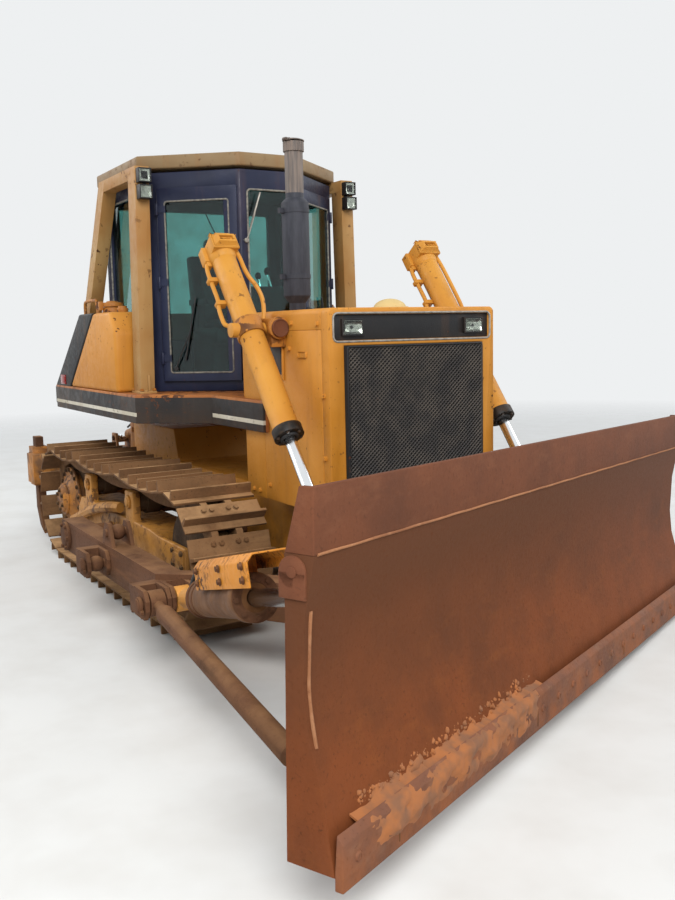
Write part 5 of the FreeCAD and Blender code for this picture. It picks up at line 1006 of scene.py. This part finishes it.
# %% Seat arms, levers and dials
arms = []
for side, sign in SIDES:
    pad = block((-1.42, 0.275 * sign - 0.035, 2.24), (-1.08, 0.275 * sign + 0.035, 2.29))
    draw_out(pad, FORWARD, 0.008, (0.03, 0, -0.006))
    stay = block((-1.40, 0.275 * sign - 0.02, 2.02), (-1.36, 0.275 * sign + 0.02, 2.24))
    arms += [rounded(pad, 0.014, 3), rounded(stay, 0.006)]
stems = [bar((-1.555, y, 2.60), (-1.565, y, 2.72), 0.008, 12) for y in (-0.07, 0.07)]
arms += [rounded(stem, 0.002) for stem in stems]
finish_piece(join(arms), "seat_arms", cabin_plastic, slot="seat_cover")
levers, knobs = [], []
for y, tall, lean in ((0.10, 0.24, -0.05), (0.0, 0.20, -0.03), (-0.10, 0.24, -0.05)):
    bent, tip = -0.66 + lean * 0.4, -0.66 + lean * 2
    levers.append(pipe([(-0.66, y, 2.24), (bent, y, 2.24 + tall * 0.5), (tip, y, 2.24 + tall)], 0.008))
    bpy.ops.mesh.primitive_uv_sphere_add(segments=16, ring_count=10, radius=0.024,
                                         location=(tip, y, 2.25 + tall), scale=(1, 1, 1.3))
    knobs.append(bpy.context.object)
finish_piece(join(levers), "control_levers", chrome)
finish_piece(join(knobs), "lever_knobs", rubber)
dials = []
for y in (-0.07, 0.07):
    dial = bar((-0.650, y, 2.315), (-0.672, y, 2.325), 0.045, 32)
    draw_out(dial, towards((-1, 0, 0), 0.8), 0.008, (0.004, 0, -0.001))
    dials.append(dial)
finish_piece(join(dials), "dashboard_dials", aluminium_and_painted_highlight, slot="cabin_plastic")
print("cab inside done")

# %% [markdown]
# ## Tracks and their wheels
#
# Four bolts hold each shoe on its links. The shoes are found in the softened track by their
# size and the way they face, so every bolt sits square on its plate, round the ends too. The
# sprocket gets its teeth, stamped round its ring, and the hubs get bolted flanges.

# %% Shoe bolts
TRACK_MIDDLE, SHOE_LEAST, SHOE_MOST = Vector((-1.055, 0, 0.529)), 0.052, 0.075
for side, sign in SIDES:
    spots = []
    for face in bpy.data.objects["track_%s_soft" % side].data.polygons:
        level, outer = abs(face.normal.y) < 0.05, (face.center - TRACK_MIDDLE).dot(face.normal) > 0
        if outer and level and SHOE_LEAST < face.area < SHOE_MOST:
            way = face.normal.cross(Vector((0, 1, 0))).normalized()
            spots += [(face.center + way * 0.012 + Vector((0, dy, 0)), face.normal)
                      for dy in (-0.112, -0.058, 0.058, 0.112)]
    bolts("shoe_bolts_" + side, "chassis", spots, 0.028, 0.013, track_steel)
    print(side, len(spots), "shoe bolts")

# %% Teeth, hubs, caps and guards
WHEEL_Z, SPROCKET_X, IDLER_X, TEETH = 0.529, -2.48, 0.37, 27
for side, sign in SIDES:
    tooth = block((-0.020, -0.026, 0.335), (0.020, 0.026, 0.372))
    draw_out(tooth, UP, 0, (0, 0, 0.030), (0.45, 0.85, 1))
    hub = Matrix.Translation((SPROCKET_X, sign, WHEEL_Z))
    turns = [Matrix.Rotation(k * 2 * math.pi / TEETH, 4, "Y") for k in range(TEETH)]
    teeth = stamp(rounded(tooth, 0.003), [hub @ turn for turn in turns])
    finish_piece(teeth, "sprocket_teeth_" + side, wheel_steel, slot="track_steel")
    face = sign * 1.1075
    flange = bar((SPROCKET_X, face - 0.012 * sign, WHEEL_Z), (SPROCKET_X, face + 0.010 * sign, WHEEL_Z),
                 0.288, 48)
    draw_out(flange, OUT[sign], 0.045, (0, 0.006 * sign, 0))
    fillet = bar((SPROCKET_X, 1.172 * sign, WHEEL_Z), (SPROCKET_X, 1.190 * sign, WHEEL_Z), 0.150, 40, 0.142)
    finish_piece(rounded(join([flange, fillet]), 0.004), "hub_flange_" + side, rusty_enamel, slot="wheel_steel")
    ring = [((SPROCKET_X + x, y, WHEEL_Z + z), (0, sign, 0)) for radius, count, y in
            ((0.266, 18, face + 0.010 * sign), (0.085, 6, 1.214 * sign)) for z, x in circle(radius, count)]
    bolts("hub_bolts_" + side, "chassis", ring, 0.030, 0.016, wheel_steel)
    skin = 1.175 * sign
    plate = block((IDLER_X - 0.11, skin, WHEEL_Z - 0.062),
                  (IDLER_X + 0.075, skin + 0.014 * sign, WHEEL_Z + 0.062))
    draw_out(plate, OUT[sign], 0.022, (0, 0.006 * sign, 0))
    parts = [rounded(plate, 0.004)]
    for x in (-0.64, -1.70):
        cap = bar((x, skin, 0.767), (x, skin + 0.016 * sign, 0.767), 0.052, 28)
        draw_out(cap, OUT[sign], 0.016, (0, 0.007 * sign, 0))
        parts.append(rounded(cap, 0.003))
    guard = block((-1.93, skin, 0.300), (-0.10, skin + 0.010 * sign, 0.372))
    draw_out(guard, OUT[sign], 0.010, (0, 0.003 * sign, 0))
    parts.append(rounded(guard, 0.003))
    finish_piece(join(parts), "frame_caps_" + side, frame_enamel)
    spots = [((x, skin + 0.012 * sign, z), (0, sign, 0)) for x in (IDLER_X - 0.094, IDLER_X + 0.058)
             for z in (WHEEL_Z - 0.046, WHEEL_Z + 0.046)]
    spots += [((x, skin + 0.012 * sign, 0.336), (0, sign, 0)) for x in (-1.85, -1.5, -1.2, -0.8, -0.45, -0.18)]
    bolts("frame_bolts_" + side, "chassis", spots, 0.028, 0.014, wheel_steel)
    duct = pipe([(-2.02, 1.225 * sign, 0.42), (-1.95, 1.225 * sign, 0.43), (-1.45, 1.232 * sign, 0.60),
                 (-0.90, 1.232 * sign, 0.70), (-0.80, 1.19 * sign, 0.70)], 0.042)
    bands = [rounded(bar((x, 1.172 * sign, z), (x, 1.246 * sign, z), 0.030, 12), 0.004)
             for x, z in ((-1.98, 0.425), (-0.95, 0.688))]
    finish_piece(join([duct] + bands), "grease_duct_" + side, frame_enamel)
print("undercarriage dressed")

# %% [markdown]
# ## Blade frame and tilt cylinder
#
# Pins are held by round heads with keeper bolts. Above the tilt cylinder a folded plate, its
# yellow paint spotted with rust, shields two oil pipes; the plate is a flat outline drawn out
# along the cylinder, with a wall given by Solidify.

# %% Pin heads
heads, keepers = [], []
for side, sign in SIDES:
    for x in (1.08, -0.06):
        spot = Vector((x, 1.700 * sign, 0.475))
        head = bar(spot - Vector((0, 0.004 * sign, 0)), spot + Vector((0, 0.016 * sign, 0)), 0.050, 28)
        draw_out(head, OUT[sign], 0.012, (0, 0.006 * sign, 0))
        heads.append(rounded(head, 0.003))
        keepers.append((spot + Vector((0.045, 0, -0.035)), (0, sign, 0)))
    hub = Vector((-1.087, 1.530 * sign, 0.475))
    collar = bar(hub, hub + Vector((0, 0.022 * sign, 0)), 0.112, 36)
    draw_out(collar, OUT[sign], 0.03, (0, 0.005 * sign, 0))
    heads.append(rounded(collar, 0.004))
    keepers += [(hub + Vector((x, 0.022 * sign, z)), (0, sign, 0)) for x, z in circle(0.094, 6)]
finish_piece(join(heads), "frame_pin_heads", arm_steel, "blade_frame")
bolts("frame_keepers", "blade_frame", keepers, 0.026, 0.014)

# %% Tilt cylinder guard, pipes and collars
spotted_enamel = enamel("rust-spotted enamel", "C8812A", "B06A26", chip_size=34, chip_level=0.53, streak=0.7,
                        mud_top=0.5)
tilt_place = barrel_place((1.080, -1.450, 0.475), (3.195, -1.714, 1.023))
GUARD_FROM, GUARD_TO = 0.84, 1.72
fold = bpy.data.curves.new("fold", "CURVE")
fold.dimensions = "2D"
fold.fill_mode = "NONE"
fold.extrude = (GUARD_TO - GUARD_FROM) / 2
profile = fold.splines.new("POLY")
corners = ((-0.055, -0.116), (-0.165, -0.116), (-0.200, -0.085), (-0.200, 0.070), (-0.165, 0.100),
           (-0.120, 0.100))
profile.points.add(len(corners) - 1)
for knot, corner in zip(profile.points, corners):
    knot.co = (*corner, 0, 1)
put_in("guard", fold)
bpy.ops.object.convert(target="MESH")
guard = rounded(modify(bpy.context.object, "Wall", "SOLIDIFY", thickness=0.010), 0.004)
settle(guard, tilt_place @ Matrix.Translation((0, 0, (GUARD_FROM + GUARD_TO) / 2)))
legs = []
for z in (0.92, 1.34):
    leg = block((-0.195, -0.05, z - 0.012), (-0.085, 0.05, z + 0.012))
    draw_out(leg, UP, 0.02, (0, 0, -0.006))
    legs.append(rounded(leg, 0.003))
guard = join([guard, settle(join(legs), tilt_place)])
finish_piece(guard, "tilt_guard", spotted_enamel, "tilt_barrel", slot="yellow_paint")
spots = [((-0.150 + dx, -0.121, z), (0, -1, 0)) for z in (0.90, 1.30, 1.66) for dx in (0.0, 0.06)]
tilt_bolts = stamp(bolt(0.026, 0.012), [tilt_place @ facing(*spot) for spot in spots])
finish_piece(tilt_bolts, "tilt_guard_bolts", arm_steel, "tilt_barrel")
collars = []
for low, high, radius, wall in ((0.545, 0.575, 0.108, 0.012), (0.63, 0.652, 0.105, 0.008),
                                (1.375, 1.426, 0.112, 0.045)):
    collars.append(rounded(band((0, 0, low), (0, 0, high), radius, wall), 0.003))
nuts = stamp(bolt(0.024, 0.014), [facing((x, y, 1.424), (0, 0, 1)) for x, y in circle(0.092, 8)])
finish_piece(settle(join(collars + [nuts]), tilt_place), "tilt_collars", arm_steel, "tilt_barrel")
lines = [pipe([(-0.09, y, 1.30), (-0.14, y, 1.28), (-0.15, y, 1.10), (-0.15, y, 0.85), (-0.15, y * 1.3, 0.70),
               (-0.13, y * 1.6, 0.56), (-0.055, y * 1.5, 0.45)], 0.013) for y in (-0.03, 0.03)]
finish_piece(settle(join(lines), tilt_place), "tilt_pipes", rubber, "tilt_barrel")
print("tilt cylinder dressed")

# %% [markdown]
# ## Blade
#
# The curved plate, the spill plate above it and the bolted edge below it are joined by beads
# of weld. Each bead follows the steel: rays shot at the blade's face give the points that it
# runs through. The edge carries flat-headed bolts. Clay has dried in a cake over its near end
# and in lumps above it, and a lug with a drilled eye is welded to the end of the plate.

# %% Beads of weld and worn strips
BLADE_BALL, BLADE_ROLL = (2.418, 0, 0.460), math.radians(-1.9)
blade_place = (Matrix.Translation(BLADE_BALL) @ Matrix.Rotation(-BLADE_TURN, 4, "Z")
               @ Matrix.Rotation(BLADE_ROLL, 4, "X"))
BLADE_PARTS = [bpy.data.objects[name + "_soft"] for name in ("moldboard", "spill_plate", "cutting_edge")]


def face_spot(y, z, ahead=0.0):
    """The blade's front face at a place along and above its ball, and the way it faces there."""
    start = blade_place @ Vector((1.5, y, z))
    way = blade_place.to_3x3() @ Vector((-1, 0, 0))
    hits = [piece.ray_cast(start, way) for piece in BLADE_PARTS]
    _, spot, normal, _ = min((hit for hit in hits if hit[0]), key=lambda hit: (hit[1] - start).length)
    return spot - way * ahead, normal


steps = [-2.27 + 4.36 * k / 40 for k in range(41)]
beads = [pipe([face_spot(y, 0.752 + 0.0015 * math.sin(k * 2.3))[0] for k, y in enumerate(steps)], 0.0055)]
beads += [pipe([face_spot(-2.262, z)[0] for z in (0.10, 0.2, 0.3, 0.4, 0.5, 0.56)], 0.007)]
finish_piece(join(beads), "blade_welds", weld_steel, "blade")
joints = [pipe([face_spot(y, z)[0] for z in (-0.33, -0.25, -0.18)], 0.0035) for y in (-1.93, -0.66, 0.62, 1.75)]
finish_piece(join(joints), "edge_joints", arm_steel, "blade", slot="worn_edge")

# %% Edge bolts, dried clay and end lug
row = [face_spot(-2.20 + 0.2 * k, -0.262, 0.001) for k in range(22)]
head = bar((0, 0, -0.004), (0, 0, 0.007), 0.021, 20, 0.016)
draw_out(head, UP, 0.005, (0, 0, -0.002))
finish_piece(stamp(head, [facing(*spot) for spot in row]), "edge_bolts", edge_steel, "blade")
LUMPS, chance = 200, random.Random(11)
bpy.ops.mesh.primitive_ico_sphere_add(subdivisions=2, radius=1)
lump = bpy.context.object
for vertex in lump.data.vertices:
    vertex.co *= 0.8 + 0.4 * chance.random()
places = []
for k in range(LUMPS):
    y = -2.10 + 1.5 * chance.random() ** 1.2
    spot, normal = face_spot(y, -0.135 + 0.035 * (chance.random() - 0.4) * (1 + chance.random()), -0.003)
    size = 0.004 + 0.013 * chance.random() ** 2
    turn = Matrix.Rotation(chance.random() * 6.28, 4,
                           Vector((chance.random(), chance.random(), 1)).normalized())
    places.append(Matrix.Translation(spot) @ turn @ Matrix.Diagonal((size, size * 0.8, size * 0.6, 1)))
lumps = stamp(lump, places)
bpy.ops.mesh.primitive_grid_add(x_subdivisions=110, y_subdivisions=14, size=1)
cake = bpy.context.object
for vertex in cake.data.vertices:
    u, v = vertex.co.x + 0.5, vertex.co.y + 0.5
    y = -2.16 + 1.62 * u
    ragged = 0.5 + 0.5 * noise.noise((y * 7, 0.3, 0.1)) + 0.25 * noise.noise((y * 23, 1.7, 0.4))
    z = -0.325 + 0.250 * v * (0.78 + 0.22 * ragged) * (1 - 0.15 * u)
    thick = 0.022 * (0.6 + noise.noise((y * 9, z * 14, 2.0)) + 0.5 * noise.noise((y * 31, z * 40, 5.0)))
    rim = min(1, u * 9, (1 - u) * 5, v * 4, (1 - v) * 4)
    vertex.co = face_spot(y, z, -0.006 + max(0, thick) * rim)[0]
modify(cake, "Wall", "SOLIDIFY", thickness=0.008)
finish_piece(join([cake, lumps]), "dried_clay", caked_mud, "blade", smooth=60)
lug = bar((0.150, -2.262, 0.69), (0.150, -2.298, 0.69), 0.055, 28)
foot = block((0.095, -2.298, 0.60), (0.205, -2.262, 0.69))
eye = bar((0.150, -2.297, 0.69), (0.150, -2.302, 0.69), 0.020, 20)
finish_piece(settle(rounded(join([lug, foot, eye]), 0.004), blade_place), "blade_end_lug", spill_steel, "blade")
print("blade dressed")

# %% [markdown]
# ## Rear
#
# Pins hold the ripper's shanks and the eyes of its cylinders, bent pipes carry their oil, and
# the tail lamps are red glasses in black boxes. The fuel tank behind the cab has its filler
# neck, a plug, a cover plate and a lifting eye at each side.

# %% Ripper pins, tail lamps and tank fittings
shank_pins = [(-3.628, y, z, 0.092, 0.024) for y in (-1.12, 0, 1.12) for z in (0.66, 0.83)]
eye_pins = [(-3.45, y, 0.95, 0.098, 0.026) for y in (0.300, -0.300)]
pins = []
for x, y, z, half, radius in shank_pins + eye_pins:
    pin = bar((x, y - half, z), (x, y + half, z), radius)
    draw_out(pin, sideways, 0.006)
    pins.append(rounded(pin, 0.003))
finish_piece(join(pins), "ripper_pins", arm_steel, "ripper")
edges = [(x, y, 0.853) for x in (-3.56, -3.39) for y in (-0.9, -0.55, 0.55, 0.9)]
bolts("ripper_beam_bolts", "ripper", [(spot, (0, 0, 1)) for spot in edges], 0.034, 0.018, rusty_enamel)
lamp_boxes, lamp_faces = [], []
for side, sign in SIDES:
    box = block((-2.938, 0.92 * sign, 1.390), (-2.880, 1.08 * sign, 1.540))
    draw_out(box, BACK, 0.008, (0.020, 0, 0))
    lamp_boxes.append(rounded(box, 0.003))
    for low, high in ((1.400, 1.462), (1.468, 1.530)):
        lens = block((-2.932, 0.93 * sign, low), (-2.918, 1.07 * sign, high))
        draw_out(lens, BACK, 0.010, (-0.003, 0, 0))
        lamp_faces.append(rounded(lens, 0.002))
finish_piece(join(lamp_boxes), "tail_lamp_boxes", black_enamel)
finish_piece(join(lamp_faces), "tail_lamp_glass", red_lens)
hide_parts("tail_lamps")
cap = bar((-1.99, 0.45, 2.188), (-1.99, 0.45, 2.225), 0.024, 24)
neck = bar((-2.12, 0.40, 2.00), (-2.16, 0.40, 2.06), 0.062, 32)
draw_out(neck, towards((0, 0, 1), 0.5), 0.012, (-0.012, 0, 0.018))
cover = draw_out(block((-0.24, -0.22, 0), (0.24, 0.22, 0.012)), UP, 0.02, (0, 0, 0.005))
settle(rounded(cover, 0.004), facing((-2.425, 0, 1.875), (-0.5775, 0, 0.8164)))
eyes = []
for sign in (-1, 1):
    bpy.ops.mesh.primitive_torus_add(major_radius=0.045, minor_radius=0.012,
                                     location=(-1.965, 0.70 * sign, 2.215), rotation=(math.pi / 2, 0, 0))
    eyes.append(bpy.context.object)
fittings = [rounded(cap, 0.003), rounded(neck, 0.004), cover] + eyes
finish_piece(join(fittings), "fuel_tank_fittings", hood_enamel)
lines = []
for side, sign in SIDES:
    y = 0.30 * sign - 0.03
    lines.append(pipe([(-2.86, y, 1.13), (-2.92, y, 1.165), (-3.02, y, 1.128), (-3.14, y, 1.082)], 0.010))
finish_piece(join(lines), "ripper_pipes", rubber, "ripper_barrels")
print("rear dressed")

# %% [markdown]
# ## Studio
#
# A pale floor that fades out far from the machine, a white surround that only the camera and
# reflections see, and broad soft lamps stand in for the overcast sky of a photograph. The
# camera stands where a person would, in front of the blade's right end, at head height.

# %% Floor, lamps and camera
bpy.ops.mesh.primitive_plane_add(size=120, location=(0, 0, 0))
floor = bpy.context.object
floor.name = "studio_floor"
floor_paint, tree, place = new_finish("pale studio floor")
tone = layer(tree, linear("D6D5D1"), linear("CFCDC8"), between(tree, pattern(tree, place, 2, 3), 0.4, 0.7))
close_finish(tree, tone, 0.9)
surface = tree.nodes["Material Output"].inputs["Surface"]
far = add_node(tree, "VectorMath", {0: place}, operation="LENGTH").outputs["Value"]
edge = add_node(tree, "MixShader", {0: between(tree, far, 7, 20), 1: surface.links[0].from_socket,
                                    2: add_node(tree, "BsdfTransparent").outputs["BSDF"]})
tree.links.new(edge.outputs["Shader"], surface)
floor.data.materials.append(floor_paint)

world = bpy.data.worlds.new("Overcast")
bpy.context.scene.world = world
world.use_nodes = True
tree = world.node_tree
tree.nodes.clear()
light_path = add_node(tree, "LightPath").outputs
seen = light_path["Is Camera Ray"]
for ray in ("Is Glossy Ray", "Is Transmission Ray"):
    seen = add_node(tree, "Math", {0: seen, 1: light_path[ray]}, operation="MAXIMUM").outputs["Value"]
sky = add_node(tree, "Background", {"Color": linear("DDE4EC"), "Strength": 0.68})
backdrop = add_node(tree, "Background", {"Color": linear("EEF0F1"), "Strength": 1.0})
both = add_node(tree, "MixShader", {0: seen, 1: sky.outputs["Background"], 2: backdrop.outputs["Background"]})
add_node(tree, "OutputWorld", {"Surface": both.outputs["Shader"]})


def lamp(name, place, target, size, power):
    """A square soft box that faces a point."""
    bpy.ops.object.light_add(type="AREA", location=place)
    light = bpy.context.object
    light.name = name
    light.data.size = size
    light.data.energy = power
    light.rotation_euler = (Vector(target) - Vector(place)).to_track_quat("-Z", "Y").to_euler()


lamp("key_soft_box", (11, -5.5, 9), (0.5, 0, 1), 8, 1900)
lamp("fill_soft_box", (3, 11, 8), (0, 0, 1.2), 9, 700)
lamp("rear_soft_box", (-9, -8, 9), (0, 0, 1.2), 9, 900)

CAMERA_PLACE = Vector((6.183, -3.397, 2.001))
YAW, PITCH, ROLL = math.radians(149.3), math.radians(7.15), math.radians(-1.29)
ahead = Vector((math.cos(YAW) * math.cos(PITCH), math.sin(YAW) * math.cos(PITCH), -math.sin(PITCH)))
across = ahead.cross(Vector((0, 0, 1))).normalized()
above = across.cross(ahead)
right = math.cos(ROLL) * across + math.sin(ROLL) * above
up = -math.sin(ROLL) * across + math.cos(ROLL) * above
bpy.ops.object.camera_add(location=CAMERA_PLACE)
camera = bpy.context.object
camera.name = "photo_camera"
camera.rotation_mode = "QUATERNION"
camera.rotation_quaternion = Matrix((right, up, -ahead)).transposed().to_quaternion()
camera.data.sensor_width = 36
camera.data.lens = 37.92
camera.data.clip_end = 200
bpy.context.scene.camera = camera
bpy.context.scene.view_settings.view_transform = "Standard"
